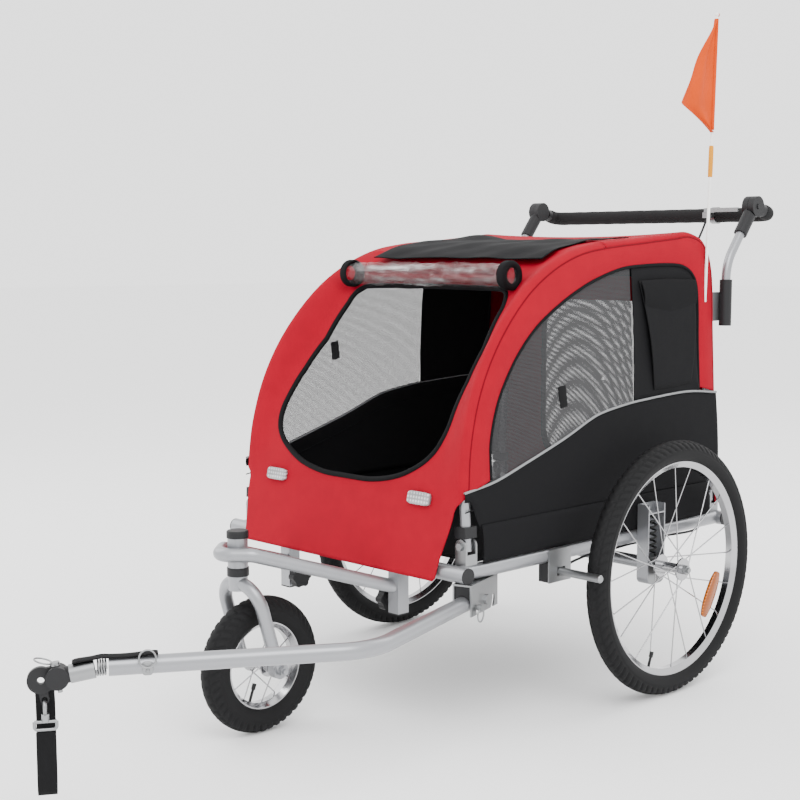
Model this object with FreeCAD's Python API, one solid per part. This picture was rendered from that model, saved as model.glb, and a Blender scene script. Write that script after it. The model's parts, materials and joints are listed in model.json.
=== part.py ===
import FreeCAD, Part
import math
import os

from FreeCAD import Vector

# Frame of the numbers below: ground under the rear axle, +X to the trailer's left, +Y to its rear, +Z up.
# The finished pieces are moved together so that the origin is the bottom centre of the whole part.

# Shared clearances
seat_gap = 0.3
running_gap = 0.05
overrun = 5.0

# Rear wheels
wheel_diameter = 500.0
wheel_offset = 78.0
tyre_width = 45.0
tyre_bead_depth = 9.0
rim_width = 28.0
rim_depth = 16.0
rim_lip_depth = 6.0
rim_inner_width = 14.0
spoke_count = 20
spoke_diameter = 2.4
spoke_lead_angle = 55.0
spoke_hole_inset = 4.0
hub_flange_spacing = 51.0
hub_flange_diameter = 44.0
hub_flange_thickness = 3.5
hub_barrel_diameter = 19.0
hub_length = 62.0
axle_diameter = 10.0
axle_shoulder_diameter = 17.0
axle_nut_width = 16.0
axle_nut_height = 7.0
axle_tip_length = 4.0

# Front wheel and its swivel fork
front_wheel_diameter = 249.0
front_tyre_width = 52.0
front_tyre_bead_depth = 10.0
front_rim_width = 34.0
front_rim_depth = 13.0
front_hub_length = 66.0
front_hub_flange_spacing = 50.0
front_hub_flange_diameter = 36.0
front_spoke_count = 12
front_wheel_y = -716.6
head_y = -762.0
head_tube_diameter = 36.0
head_tube_bottom_z = 310.0
head_tube_top_z = 363.0
head_cap_diameter = 39.0
head_top_cap_height = 13.0
head_bottom_cap_height = 15.0
head_cap_edge = 3.0
steerer_diameter = 25.4
fork_tube_diameter = 24.0
fork_leg_x = 52.0
fork_crown_z = 281.0
fork_arch_radius = 46.0
fork_lug_diameter = 31.0
fork_lug_width = 18.0
fork_boss_diameter = 34.0
fork_boss_height = 26.0

# Ladder frame under the cabin
frame_tube_diameter = 28.0
frame_tube_wall = 2.0
cross_tube_diameter = 29.0
rail_offset = 8.0
rail_z = 306.0
front_cross_y = -518.0
rear_cross_y = 262.0
cross_overhang = 22.0
plug_flange_thickness = 2.5
plug_stem_length = 12.0
axle_tube_diameter = 25.0
floor_thickness = 4.0
floor_front_y = -474.0
floor_rear_y = 228.0

# Swivel-wheel bracket: a bent tube round the head tube, ending on two square posts
jogger_tube_diameter = 25.0
jogger_tube_wall = 1.8
jogger_post_x = 154.5
jogger_post_width = 26.0
jogger_post_wall = 2.0
jogger_post_bottom_z = 212.0
jogger_leg_z = 258.0
jogger_bend_z = 337.0
jogger_bend_radius = 30.0
jogger_leg_front_x = 42.0
spigot_length = 45.0
knob_diameter = 46.0
knob_thickness = 15.0
knob_lobe_count = 6
knob_lobe_diameter = 14.0
knob_neck_diameter = 20.0
knob_neck_length = 9.0
knob_z = 234.0

# Hinge knuckles at the feet of the side frames
hinge_offset = 26.0
hinge_z = 352.0
knuckle_width = 26.0
knuckle_depth = 29.0
knuckle_ear_thickness = 4.0
knuckle_foot_top_z = 338.0
hinge_bolt_diameter = 8.0
bolt_head_diameter = 13.0
bolt_head_height = 5.0
collar_height = 20.0
collar_gap = 1.0
collar_travel = 25.0
collar_notch_gap = 3.0

# Side frames and the fabric cabin
post_diameter = 19.0
post_wall = 1.5
side_lean = 3.0
cabin_front_y = -503.0
nose_start_z = 439.3
nose_toe = 0.8
nose_straight = 7.5
nose_radius = 430.0
brow_straight = 10.4
dish_low_drop = 83.0
dish_high_set = 45.0
dish_low_radius = 190.0
dish_high_radius = 300.0
roof_slope = 5.0
cabin_rear_y = 262.0
rear_corner_radius = 80.0
fabric_thickness = 2.5
fabric_gap = 0.5
cabin_half_width = 272.0
dish_inset = 44.0
apron_bottom_y = -541.0
apron_bottom_z = 291.0
apron_bend_radius = 30.0
panel_bottom_z = 380.0
rear_panel_bottom_z = 330.0
skirt_bottom_z = 324.0
skirt_front_y = -468.0
skirt_rear_y = 224.0
door_low_inset = 36.0
door_high_inset = 56.0
door_bottom_z = 446.0
door_top_drop = 51.0
door_low_radius = 115.0
door_high_radius = 25.0
window_front_y = -437.0
window_rear_y = -10.0
window_sill_front_z = 466.0
window_sill_rear_z = 572.0
window_head_drop = 51.9
window_brow_set = 18.0
window_brow_drop = 118.0
window_cheek_drop = 41.0
window_brow_radius = 250.0
window_cheek_radius = 110.0
window_corner_radius = 12.0
mesh_thickness = 1.2
roll_diameter = 48.0
roll_inset = 46.0
roll_set = 70.3
roll_ring_width = 15.0
roll_ring_diameter = 56.0
roll_hole_diameter = 30.0
reflector_inset = 71.0
reflector_z = 426.0
reflector_width = 56.0
reflector_height = 24.0
reflector_thickness = 9.0
reflector_corner = 6.0

# Suspension at each rear wheel
bracket_depth = 27.0
bracket_width = 54.0
bracket_drop = 38.0
bracket_rise = 121.0
bracket_wall = 3.0
bracket_seat_rise = 102.0
bracket_corner_radius = 14.0
axle_block_rise = 16.0
suspension_travel = 20.0
suspension_wire = 4.0
suspension_coil_diameter = 21.0
suspension_turns = 7

# Parking brake in front of the left tyre
brake_tyre_gap = 7.3
brake_z = 275.0
brake_rod_diameter = 15.0
brake_rod_overhang = 36.0
brake_rod_inset = 3.0
brake_rod_chamfer = 2.0
brake_stroke = 7.0
brake_plate_length = 62.0
brake_plate_bottom_z = 256.0
brake_plate_top_z = 318.0
brake_plate_thickness = 3.0
brake_box_depth = 25.0
brake_box_length = 56.0
cable_diameter = 5.0
# Cable from the lever, measured inboard of the left rail; its last run is measured from the brake housing
cable_route = (
    (-143.0, 415.0, 935.5),
    (-144.0, 394.0, 896.0),
    (-146.0, 352.0, 850.0),
    (-149.0, 318.0, 795.0),
    (-152.0, 307.0, 730.0),
    (-154.0, 303.0, 660.0),
    (-154.0, 298.0, 590.0),
    (-150.0, 294.0, 520.0),
    (-138.0, 294.0, 455.0),
    (-116.0, 294.0, 395.0),
    (-84.0, 293.0, 340.0),
    (-54.0, 284.0, 300.0),
    (-34.0, 258.0, 283.0),
    (-25.0, 222.0, 278.0),
    (-22.0, 172.0, 280.0),
    (-23.0, 112.0, 283.0),
    (-21.0, 52.0, 281.0),
    (-22.0, -8.0, 283.0),
    (-21.0, -68.0, 280.0),
    (-22.0, -128.0, 281.0),
)
cable_end_route = (
    (-18.0, 56.7, 2.0),
    (-9.0, 22.7, 0),
    (-3.0, 0, 0),
)

# Tow arm and its yawed bracket
tow_yaw = 18.3
tow_pivot_inset = 3.0
tow_pivot_y = -470.0
tow_z = 256.0
arm_diameter = 28.0
arm_wall = 2.0
arm_first_run = 372.0
arm_second_run = 396.0
arm_turn = 50.1
arm_bend_radius = 100.0
arm_tail = 19.0
tow_bracket_front = 58.0
tow_bracket_rear = 52.0
tow_bracket_wall = 3.0
tow_bracket_bottom_z = 236.0
tow_bracket_side_gap = 1.0
tow_bolt_diameter = 10.0
liner_front_inset = 2.0
liner_rear = 20.0
lock_pin_reach = 34.0
lock_pin_z = 248.0
lock_pin_diameter = 8.0
lock_pin_notch_gap = 0.8
lock_pin_head_diameter = 13.0
lock_pin_head_height = 6.0
lock_pin_tail = 4.0
bail_wire = 3.0
bail_drop = 24.0
tow_fold_angle = 165.0

# Hitch coupler on its flexible spring
coil_gap_length = 20.0
coil_diameter = 25.6
coil_wire = 2.6
coil_turns = 4
coupler_droop = 9.0
sleeve_diameter = 28.0
sleeve_length = 36.0
coupler_stem_diameter = 23.0
coupler_drum_diameter = 34.0
coupler_drum_width = 30.0
coupler_drum_reach = 64.0
coupler_neck_diameter = 25.0
eye_reach = 88.0
eye_diameter = 40.0
eye_thickness = 9.0
eye_bore_diameter = 10.5
hitch_pin_diameter = 7.0
hitch_pin_head_diameter = 14.0
hitch_pin_head_height = 5.0
hitch_pin_tail = 7.0
ring_wire = 2.6
ring_diameter = 26.0
ring_tilt = 25.0
eyelet_drop = 30.0
eyelet_width = 13.0
eyelet_thickness = 4.0
eyelet_bore_diameter = 9.0
strap_width = 28.0
strap_thickness = 2.4
strap_route = (
    (-6.0, -28.5),
    (-8.0, -35.0),
    (-15.5, -46.0),
    (-18.0, -60.0),
    (-19.0, -90.0),
    (-20.0, -125.0),
    (-19.0, -160.0),
    (-12.0, -182.0),
    (-3.0, -190.0),
    (5.0, -182.0),
    (6.0, -160.0),
    (3.0, -125.0),
    (0.0, -92.2),
)
hook_body_diameter = 11.0
hook_body_length = 12.0
hook_wire = 5.0
hook_loop_diameter = 20.0
hook_ring_width = 32.0
hook_ring_height = 12.0

# Push handle
handle_offset = 2.0
handle_y = 290.0
upright_diameter = 19.0
upright_wall = 1.5
upright_bottom_z = 714.0
upright_bend_z = 838.0
upright_bend_radius = 90.0
sleeve_top_z = 805.0
handle_sleeve_diameter = 26.0
handle_sleeve_floor = 5.0
handle_pivot_y = 385.0
handle_pivot_z = 958.0
elbow_disc_diameter = 44.0
elbow_disc_width = 13.5
elbow_socket_diameter = 28.0
elbow_socket_start = 25.0
elbow_socket_end = 74.0
elbow_arm_end = 40.0
elbow_screw_diameter = 11.0
elbow_screw_height = 2.0
bar_diameter = 22.0
bar_wall = 1.8
bar_rear_y = 450.0
bar_drop = 15.0
bar_corner_radius = 26.0
grip_diameter = 31.0
brake_clamp_inset = 137.0
brake_clamp_width = 14.0
brake_clamp_wall = 3.0
lever_lug_length = 26.0
lever_lug_height = 12.0
lever_length = 84.0
lever_thickness = 5.0
lever_height = 9.0
lever_pin_diameter = 5.0
clip_thickness = 4.0
clip_height = 60.0

# Safety flag
flag_foot_y = 226.0
flag_foot_z = 760.0
flag_top_z = 1340.0
flag_pole_lean = 1.9
flag_pole_diameter = 6.0
flag_tip_diameter = 9.0
flag_height = 226.0
flag_length = 112.0
flag_tail_drop = 175.0
flag_thickness = 1.4

# Shares
half_share = 0.5
free_run_share = 0.45
jogger_front_share = 0.8
tow_head_share = 1.6

# Places that follow from the sizes: everything beside the cabin keeps its distance from it
hinge_x = cabin_half_width + hinge_offset
rail_x = hinge_x + rail_offset
cross_half_length = rail_x + cross_overhang
wheel_x = rail_x + wheel_offset
handle_x = hinge_x + handle_offset
tow_pivot_x = rail_x - tow_pivot_inset
brake_rod_start_x = rail_x - brake_rod_inset
brake_rod_end_x = wheel_x + brake_rod_overhang
brake_clamp_x = handle_x - brake_clamp_inset
dish_half_width = cabin_half_width - dish_inset
door_half_width_low = cabin_half_width - door_low_inset
door_half_width_high = cabin_half_width - door_high_inset
roll_half_length = cabin_half_width - roll_inset
reflector_x = cabin_half_width - reflector_inset

# The suspension and the brake follow the rear wheels
axle_z = wheel_diameter / 2
bracket_bottom_z = axle_z - bracket_drop
bracket_top_z = axle_z + bracket_rise
bracket_seat_z = axle_z + bracket_seat_rise
axle_block_top_z = axle_z + axle_block_rise
brake_y = -(wheel_diameter / 2 + brake_tyre_gap + brake_rod_diameter / 2)

# The nose turns from upright into the roof's slope in two equal bends; the roof, door and window follow it
nose_turn = math.radians(90 - roof_slope) / 2
nose_run = nose_radius * math.tan(nose_turn / 2)
apron_turn = math.atan2(cabin_front_y - apron_bottom_y, nose_start_z - apron_bottom_z)
apron_run = apron_bend_radius * math.tan(apron_turn / 2)
nose_low_corner_z = nose_start_z + apron_run + nose_toe + nose_run
nose_length = 2 * nose_run + nose_straight
nose_high_corner_y = cabin_front_y + nose_length * math.sin(nose_turn)
nose_high_corner_z = nose_low_corner_z + nose_length * math.cos(nose_turn)
brow_y = nose_high_corner_y + nose_run * math.cos(math.radians(roof_slope)) + brow_straight
roof_rise = math.tan(math.radians(roof_slope))


def roof_z(y):
    return nose_high_corner_z + (y - nose_high_corner_y) * roof_rise


dish_low_corner_z = nose_low_corner_z - dish_low_drop
dish_high_corner_y = nose_high_corner_y + dish_high_set
door_top_z = nose_high_corner_z - door_top_drop
window_head_z = roof_z(window_rear_y) - window_head_drop
window_brow_y = nose_high_corner_y - window_brow_set
window_brow_z = nose_high_corner_z - window_brow_drop
window_cheek_z = nose_low_corner_z - window_cheek_drop


def unit(vector):
    return vector * (1 / vector.Length)


def rounded_path(points, radii):
    """Straight runs joined by tangent arcs: one radius for each inner point."""
    edges = []
    start = points[0]
    for before, corner, after, radius in zip(points, points[1:], points[2:], radii):
        back = unit(before - corner)
        ahead = unit(after - corner)
        half_turn = (math.pi - back.getAngle(ahead)) / 2
        cut_back = radius * math.tan(half_turn)
        arc_start = corner + back * cut_back
        arc_end = corner + ahead * cut_back
        middle = corner + unit(back + ahead) * (radius / math.cos(half_turn) - radius)
        edges.append(Part.LineSegment(start, arc_start).toShape())
        edges.append(Part.Arc(arc_start, middle, arc_end).toShape())
        start = arc_end
    edges.append(Part.LineSegment(start, points[-1]).toShape())
    return Part.Wire(edges)


def swept(path, profile):
    shell = Part.BRepOffsetAPI.MakePipeShell(path)
    shell.add(profile)
    shell.build()
    shell.makeSolid()
    solid = Part.Solid(shell.shape())
    return solid if solid.Volume > 0 else solid.reversed()


def rod(points, radii, diameter):
    """A round rod along straight runs and arcs."""
    circle = Part.Wire(Part.makeCircle(diameter / 2, points[0], points[1] - points[0]))
    return swept(rounded_path(points, radii), circle)


def tube(points, radii, diameter, wall):
    return rod(points, radii, diameter).cut(rod(points, radii, diameter - 2 * wall))


def bar(start, end, diameter):
    """A straight round bar between two points."""
    return Part.makeCylinder(diameter / 2, (end - start).Length, start, end - start)


def pipe(start, end, diameter, wall):
    return bar(start, end, diameter).cut(bar(start, end, diameter - 2 * wall))


def box(low, high):
    size = high - low
    return Part.makeBox(size.x, size.y, size.z, low)


def lathe(profile):
    """A closed profile of (x, radius) points turned about the X axis."""
    corners = [Vector(along, 0, radius) for along, radius in profile]
    face = Part.Face(Part.makePolygon(corners + corners[:1]))
    return face.revolve(Vector(), Vector(1, 0, 0), 360)


def prism(points, radii, push):
    """A closed outline with rounded corners, pushed along a vector."""
    middle = (points[-1] + points[0]) * half_share
    loop = [middle] + list(points) + [middle]
    solid = Part.Face(rounded_path(loop, radii)).extrude(push)
    return solid if solid.Volume > 0 else solid.reversed()


def mirrored(shape):
    return shape.mirror(Vector(), Vector(1, 0, 0))


def moved(shape, x, y, z):
    copy = shape.copy()
    copy.translate(Vector(x, y, z))
    return copy


def turned(shape, centre, axis, degrees):
    copy = shape.copy()
    copy.rotate(centre, axis, degrees)
    return copy


def joined(first, *others):
    return first.multiFuse(list(others)).removeSplitter()


def hexagon(width, height, base, axis):
    """A hexagonal nut blank of a given width across its flats."""
    corner = width / 2 / math.cos(math.pi / 6)
    turns = [k * math.pi / 3 for k in range(7)]
    points = [Vector(corner * math.cos(turn), corner * math.sin(turn), 0) for turn in turns]
    blank = Part.Face(Part.makePolygon(points)).extrude(Vector(0, 0, height))
    blank.Placement = FreeCAD.Placement(base, FreeCAD.Rotation(Vector(0, 0, 1), axis))
    return blank


def arc_from(start, end, tangent):
    """The arc that leaves start along a tangent and ends at end."""
    chord = end - start
    angle = tangent.getAngle(chord)
    side = unit(tangent - unit(chord) * math.cos(angle))
    middle = (start + end) * half_share + side * (chord.Length / 2 * math.tan(angle / 2))
    return Part.Arc(start, middle, end).toShape()


def coil_spring(mean_diameter, wire, length, turns):
    """One unbroken round wire wound about Z, each quarter turn as two tangent arcs."""
    quarters = turns * 4
    rise = length / quarters
    radius = mean_diameter / 2
    points = []
    tangents = []
    for quarter in range(quarters + 1):
        angle = quarter * math.pi / 2
        points.append(Vector(radius * math.cos(angle), radius * math.sin(angle), rise * quarter))
        turn = Vector(-math.sin(angle), math.cos(angle), 0) * radius
        tangents.append(unit(turn + Vector(0, 0, rise * 2 / math.pi)))
    edges = []
    for start, end, leave, arrive in zip(points, points[1:], tangents, tangents[1:]):
        span = end - start
        both = leave + arrive
        spread = 2 * (1 - leave.dot(arrive))
        reach = (math.sqrt(span.dot(both) ** 2 + spread * span.dot(span)) - span.dot(both)) / spread
        meet = (start + leave * reach + end - arrive * reach) * half_share
        edges.append(arc_from(start, meet, leave))
        edges.append(arc_from(end, meet, arrive * -1))
    path = Part.Wire(edges)
    circle = Part.Wire(Part.makeCircle(wire / 2, points[0], tangents[0]))
    climb = math.atan2(rise * 4, math.pi * mean_diameter)
    print("coil gap between turns", round(rise * 4 * math.cos(climb) - wire, 2))
    return swept(path, circle)


pieces = {}


def keep(name, *shapes):
    solids = [solid for shape in shapes for solid in shape.Solids]
    pieces[name] = Part.makeCompound(solids)


# Wheels: tyre, rim, and a hub with its spokes, built about the X axis

def wheel(diameter, width, bead_depth, rim_breadth, rim_height, hub_span, flange_span, flange_size, spokes):
    bead_radius = diameter / 2 - width + bead_depth
    rim_radius = bead_radius - rim_height
    tyre = Part.makeTorus(diameter / 2 - width / 2, width / 2, Vector(), Vector(1, 0, 0))
    tyre = tyre.cut(bar(Vector(-width, 0, 0), Vector(width, 0, 0), 2 * bead_radius))
    rim = lathe((
        (-rim_breadth / 2, bead_radius),
        (rim_breadth / 2, bead_radius),
        (rim_breadth / 2, bead_radius - rim_lip_depth),
        (rim_inner_width / 2, rim_radius),
        (-rim_inner_width / 2, rim_radius),
        (-rim_breadth / 2, bead_radius - rim_lip_depth),
    ))
    bore = axle_diameter / 2 + running_gap
    flange_out = flange_span / 2 + hub_flange_thickness / 2
    flange_in = flange_span / 2 - hub_flange_thickness / 2
    right_half = (
        (hub_span / 2, bore),
        (hub_span / 2, hub_barrel_diameter / 2),
        (flange_out, hub_barrel_diameter / 2),
        (flange_out, flange_size / 2),
        (flange_in, flange_size / 2),
        (flange_in, hub_barrel_diameter / 2),
    )
    hub = lathe(right_half + tuple((-along, radius) for along, radius in reversed(right_half)))
    wires = []
    for number in range(spokes):
        side = 1 if number % 2 else -1
        lead = spoke_lead_angle if number % 4 < 2 else -spoke_lead_angle
        rim_angle = 2 * math.pi * number / spokes
        hub_angle = rim_angle + math.radians(lead)
        hole_radius = flange_size / 2 - spoke_hole_inset
        hub_way = Vector(0, math.cos(hub_angle), math.sin(hub_angle))
        rim_way = Vector(0, math.cos(rim_angle), math.sin(rim_angle))
        start = Vector(side * flange_span / 2, 0, 0) + hub_way * hole_radius
        end = Vector(side * rim_inner_width / 4, 0, 0) + rim_way * rim_radius
        wires.append(bar(start, end, spoke_diameter).cut(rim))
    return tyre, rim, hub.multiFuse(wires)


tube_inset = fabric_thickness + fabric_gap + post_diameter / 2
front_post_y = cabin_front_y + tube_inset
rear_post_y = cabin_rear_y - tube_inset
rear_parts = wheel(wheel_diameter, tyre_width, tyre_bead_depth, rim_width, rim_depth,
                   hub_length, hub_flange_spacing, hub_flange_diameter, spoke_count)
for part_name, part in zip(("tyre", "rim", "hub_spokes"), rear_parts):
    left_part = moved(part, wheel_x, 0, axle_z)
    keep("left_" + part_name, left_part)
    keep("right_" + part_name, mirrored(left_part))

front_axle_z = front_wheel_diameter / 2
front_parts = wheel(front_wheel_diameter, front_tyre_width, front_tyre_bead_depth, front_rim_width,
                    front_rim_depth, front_hub_length, front_hub_flange_spacing, front_hub_flange_diameter,
                    front_spoke_count)
for part_name, part in zip(("tyre", "rim", "hub_spokes"), front_parts):
    keep("front_" + part_name, moved(part, 0, front_wheel_y, front_axle_z))

# Ladder frame: two rails between cross tubes, the axle tube, and two spigots for the swivel-wheel posts

rail_left = pipe(Vector(rail_x, front_cross_y, rail_z), Vector(rail_x, rear_cross_y, rail_z),
                 frame_tube_diameter, frame_tube_wall)
bracket_in = rail_x + frame_tube_diameter / 2
cross_solids = []
cross_cores = []
for cross_y in (front_cross_y, rear_cross_y):
    ends = (Vector(-cross_half_length, cross_y, rail_z), Vector(cross_half_length, cross_y, rail_z))
    cross_solids.append(pipe(*ends, cross_tube_diameter, frame_tube_wall))
    cross_cores.append(bar(*ends, cross_tube_diameter))
rail_left = rail_left.cut(Part.makeCompound(cross_cores))
keep("side_rails", rail_left, mirrored(rail_left))
rail_line = (Vector(rail_x, front_cross_y, rail_z), Vector(rail_x, rear_cross_y, rail_z))
rail_core = bar(*rail_line, frame_tube_diameter)
axle_line = (Vector(-bracket_in, 0, axle_z), Vector(bracket_in, 0, axle_z))
axle_tube = pipe(*axle_line, axle_tube_diameter, frame_tube_wall)
axle_tube = axle_tube.cut(Part.makeCompound([rail_core, mirrored(rail_core)]))
axle_tube = max(axle_tube.Solids, key=lambda solid: solid.Volume)
spigot_width = jogger_post_width - 2 * jogger_post_wall - 2 * seat_gap
spigot_left = box(
    Vector(jogger_post_x - spigot_width / 2, front_cross_y - spigot_width / 2,
           rail_z - frame_tube_diameter / 2 - spigot_length),
    Vector(jogger_post_x + spigot_width / 2, front_cross_y + spigot_width / 2, rail_z),
).cut(cross_cores[0])
front_cross = joined(cross_solids[0], spigot_left, mirrored(spigot_left))
keep("cross_tubes", front_cross, cross_solids[1], axle_tube)

# Swivel-wheel bracket: posts, bent tube, head tube, end plugs and clamp knobs

half_post = jogger_post_width / 2
half_post_bore = half_post - jogger_post_wall
post_left = box(Vector(jogger_post_x - half_post, front_cross_y - half_post, jogger_post_bottom_z),
                Vector(jogger_post_x + half_post, front_cross_y + half_post, rail_z))
post_bore = box(Vector(jogger_post_x - half_post_bore, front_cross_y - half_post_bore, 0),
                Vector(jogger_post_x + half_post_bore, front_cross_y + half_post_bore, rail_z))
bend_front_y = head_y - jogger_bend_radius - jogger_tube_diameter / 2
jogger_points = [
    Vector(jogger_post_x, front_cross_y, jogger_leg_z),
    Vector(jogger_leg_front_x, head_y, jogger_bend_z),
    Vector(0, bend_front_y, jogger_bend_z),
    Vector(-jogger_leg_front_x, head_y, jogger_bend_z),
    Vector(-jogger_post_x, front_cross_y, jogger_leg_z),
]
jogger_radii = (jogger_bend_radius, jogger_bend_radius * jogger_front_share, jogger_bend_radius)
head_low = Vector(0, head_y, head_tube_bottom_z)
head_high = Vector(0, head_y, head_tube_top_z)
head_core = bar(head_low, head_high, head_tube_diameter)
jogger_tube = tube(jogger_points, jogger_radii, jogger_tube_diameter, jogger_tube_wall)
jogger_tube = jogger_tube.cut(Part.makeCompound([post_left, mirrored(post_left), head_core]))
steerer_bore = bar(head_low, head_high, steerer_diameter + 2 * running_gap)
hollow_post = post_left.cut(post_bore).cut(cross_cores[0])
keep("jogger_frame", joined(jogger_tube, hollow_post, mirrored(hollow_post), head_core.cut(steerer_bore)))

plug_solids = []
for cross_y in (front_cross_y, rear_cross_y):
    flange = bar(Vector(cross_half_length, cross_y, rail_z),
                 Vector(cross_half_length + plug_flange_thickness, cross_y, rail_z), cross_tube_diameter)
    stem = bar(Vector(cross_half_length - plug_stem_length, cross_y, rail_z),
               Vector(cross_half_length, cross_y, rail_z), cross_tube_diameter - 2 * frame_tube_wall)
    plug_solids += [joined(flange, stem), mirrored(joined(flange, stem))]
post_plug = box(Vector(jogger_post_x - half_post, front_cross_y - half_post,
                       jogger_post_bottom_z - plug_flange_thickness),
                Vector(jogger_post_x + half_post, front_cross_y + half_post, jogger_post_bottom_z))
post_stem = box(Vector(jogger_post_x - half_post_bore, front_cross_y - half_post_bore, jogger_post_bottom_z),
                Vector(jogger_post_x + half_post_bore, front_cross_y + half_post_bore,
                       jogger_post_bottom_z + plug_stem_length))
plug_solids += [joined(post_plug, post_stem), mirrored(joined(post_plug, post_stem))]
top_cap = Part.makeCylinder(head_cap_diameter / 2, head_top_cap_height, head_high)
top_cap = top_cap.makeFillet(head_cap_edge, [edge for edge in top_cap.Edges
                                             if edge.BoundBox.ZMin > head_tube_top_z + head_cap_edge])
bottom_cap_base = Vector(0, head_y, head_tube_bottom_z - head_bottom_cap_height)
bottom_cap = Part.makeCylinder(head_cap_diameter / 2, head_bottom_cap_height, bottom_cap_base)
bottom_cap = bottom_cap.cut(bar(bottom_cap_base, head_low, steerer_diameter + 2 * seat_gap))
keep("tube_plugs", *plug_solids, top_cap, bottom_cap)

knob_x = jogger_post_x - half_post
knob_axis = Vector(-1, 0, 0)
knob_foot = Vector(knob_x, front_cross_y, knob_z)
knob_face = knob_foot + knob_axis * knob_neck_length
knob_radius = knob_diameter / 2 - knob_lobe_diameter / 4
knob_body = Part.makeCylinder(knob_radius, knob_thickness, knob_face, knob_axis)
lobes = []
for number in range(knob_lobe_count):
    angle = 2 * math.pi * number / knob_lobe_count
    reach = (knob_diameter - knob_lobe_diameter) / 2
    centre = knob_face + Vector(0, reach * math.cos(angle), reach * math.sin(angle))
    lobes.append(Part.makeCylinder(knob_lobe_diameter / 2, knob_thickness, centre, knob_axis))
knob_neck = Part.makeCylinder(knob_neck_diameter / 2, knob_neck_length, knob_foot, knob_axis)
knob = joined(knob_body, knob_neck, *lobes)
keep("clamp_knobs", knob, mirrored(knob))

# Swivel fork: arched tube, steerer and the front axle with its nuts

leg_lean = (front_wheel_y - head_y) / (fork_crown_z - front_axle_z)
fork_ends = ((1, front_axle_z), (1, fork_crown_z), (-1, fork_crown_z), (-1, front_axle_z))
fork_points = [Vector(side * fork_leg_x, head_y + leg_lean * (fork_crown_z - height), height)
               for side, height in fork_ends]
fork_arch = rod(fork_points, (fork_arch_radius, fork_arch_radius), fork_tube_diameter)
steerer = bar(Vector(0, head_y, fork_crown_z), head_high, steerer_diameter)
boss_top = Vector(0, head_y, head_tube_bottom_z - head_bottom_cap_height - seat_gap)
fork_boss = Part.makeCylinder(fork_boss_diameter / 2, fork_boss_height, boss_top, Vector(0, 0, -1))
lug_solids = []
for side in (1, -1):
    lug_foot = Vector(side * (fork_leg_x - fork_lug_width / 2), front_wheel_y, front_axle_z)
    lug_solids.append(Part.makeCylinder(fork_lug_diameter / 2, fork_lug_width, lug_foot, Vector(side, 0, 0)))
lug_out_x = fork_leg_x + fork_tube_diameter / 2
axle_reach = lug_out_x + axle_nut_height + axle_tip_length
front_axle_line = (Vector(-axle_reach, front_wheel_y, front_axle_z),
                   Vector(axle_reach, front_wheel_y, front_axle_z))
fork_core = joined(fork_arch, steerer, fork_boss, *lug_solids)
fork_core = fork_core.cut(bar(*front_axle_line, axle_diameter))
front_axle = bar(*front_axle_line, axle_diameter)
axle_fittings = []
for side in (1, -1):
    nut_base = Vector(side * lug_out_x, front_wheel_y, front_axle_z)
    axle_fittings.append(hexagon(axle_nut_width, axle_nut_height, nut_base, Vector(side, 0, 0)))
    spacer_in = Vector(side * (front_hub_length / 2 + seat_gap), front_wheel_y, front_axle_z)
    spacer_out = Vector(side * (fork_leg_x - fork_lug_width / 2), front_wheel_y, front_axle_z)
    axle_fittings.append(bar(spacer_in, spacer_out, axle_shoulder_diameter))
keep("fork", fork_core, joined(front_axle, *axle_fittings))

# Hinge knuckles, their bolts, and the tow bracket bolt

knuckle_solids = []
bolt_solids = []
frame_cores = Part.makeCompound(cross_cores + [rail_core])
half_depth = knuckle_depth / 2
for post_y in (front_post_y, rear_post_y):
    foot = box(Vector(hinge_x - knuckle_width / 2, post_y - half_depth, rail_z),
               Vector(hinge_x + knuckle_width / 2, post_y + half_depth, knuckle_foot_top_z))
    ears = []
    for ear_y in (post_y - half_depth, post_y + half_depth - knuckle_ear_thickness):
        ears.append(box(Vector(hinge_x - knuckle_width / 2, ear_y, rail_z),
                        Vector(hinge_x + knuckle_width / 2, ear_y + knuckle_ear_thickness, hinge_z)))
        ears.append(Part.makeCylinder(knuckle_width / 2, knuckle_ear_thickness,
                                      Vector(hinge_x, ear_y, hinge_z), Vector(0, 1, 0)))
    bolt_line = (Vector(hinge_x, post_y - half_depth, hinge_z),
                 Vector(hinge_x, post_y + half_depth, hinge_z))
    knuckle = joined(foot, *ears).cut(frame_cores).cut(bar(*bolt_line, hinge_bolt_diameter))
    head = hexagon(bolt_head_diameter, bolt_head_height, bolt_line[0], Vector(0, -1, 0))
    nut = hexagon(bolt_head_diameter, bolt_head_height, bolt_line[1], Vector(0, 1, 0))
    bolt = joined(bar(*bolt_line, hinge_bolt_diameter), head, nut)
    knuckle_solids += [knuckle, mirrored(knuckle)]
    bolt_solids += [bolt, mirrored(bolt)]
keep("hinge_brackets", *knuckle_solids)


def in_tow_frame(shape):
    """From the tow bracket's own frame, +X along the arm and +Y outward, into the trailer's frame."""
    copy = turned(shape, Vector(), Vector(0, 0, 1), tow_yaw - 90)
    return moved(copy, tow_pivot_x, tow_pivot_y, 0)


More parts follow.
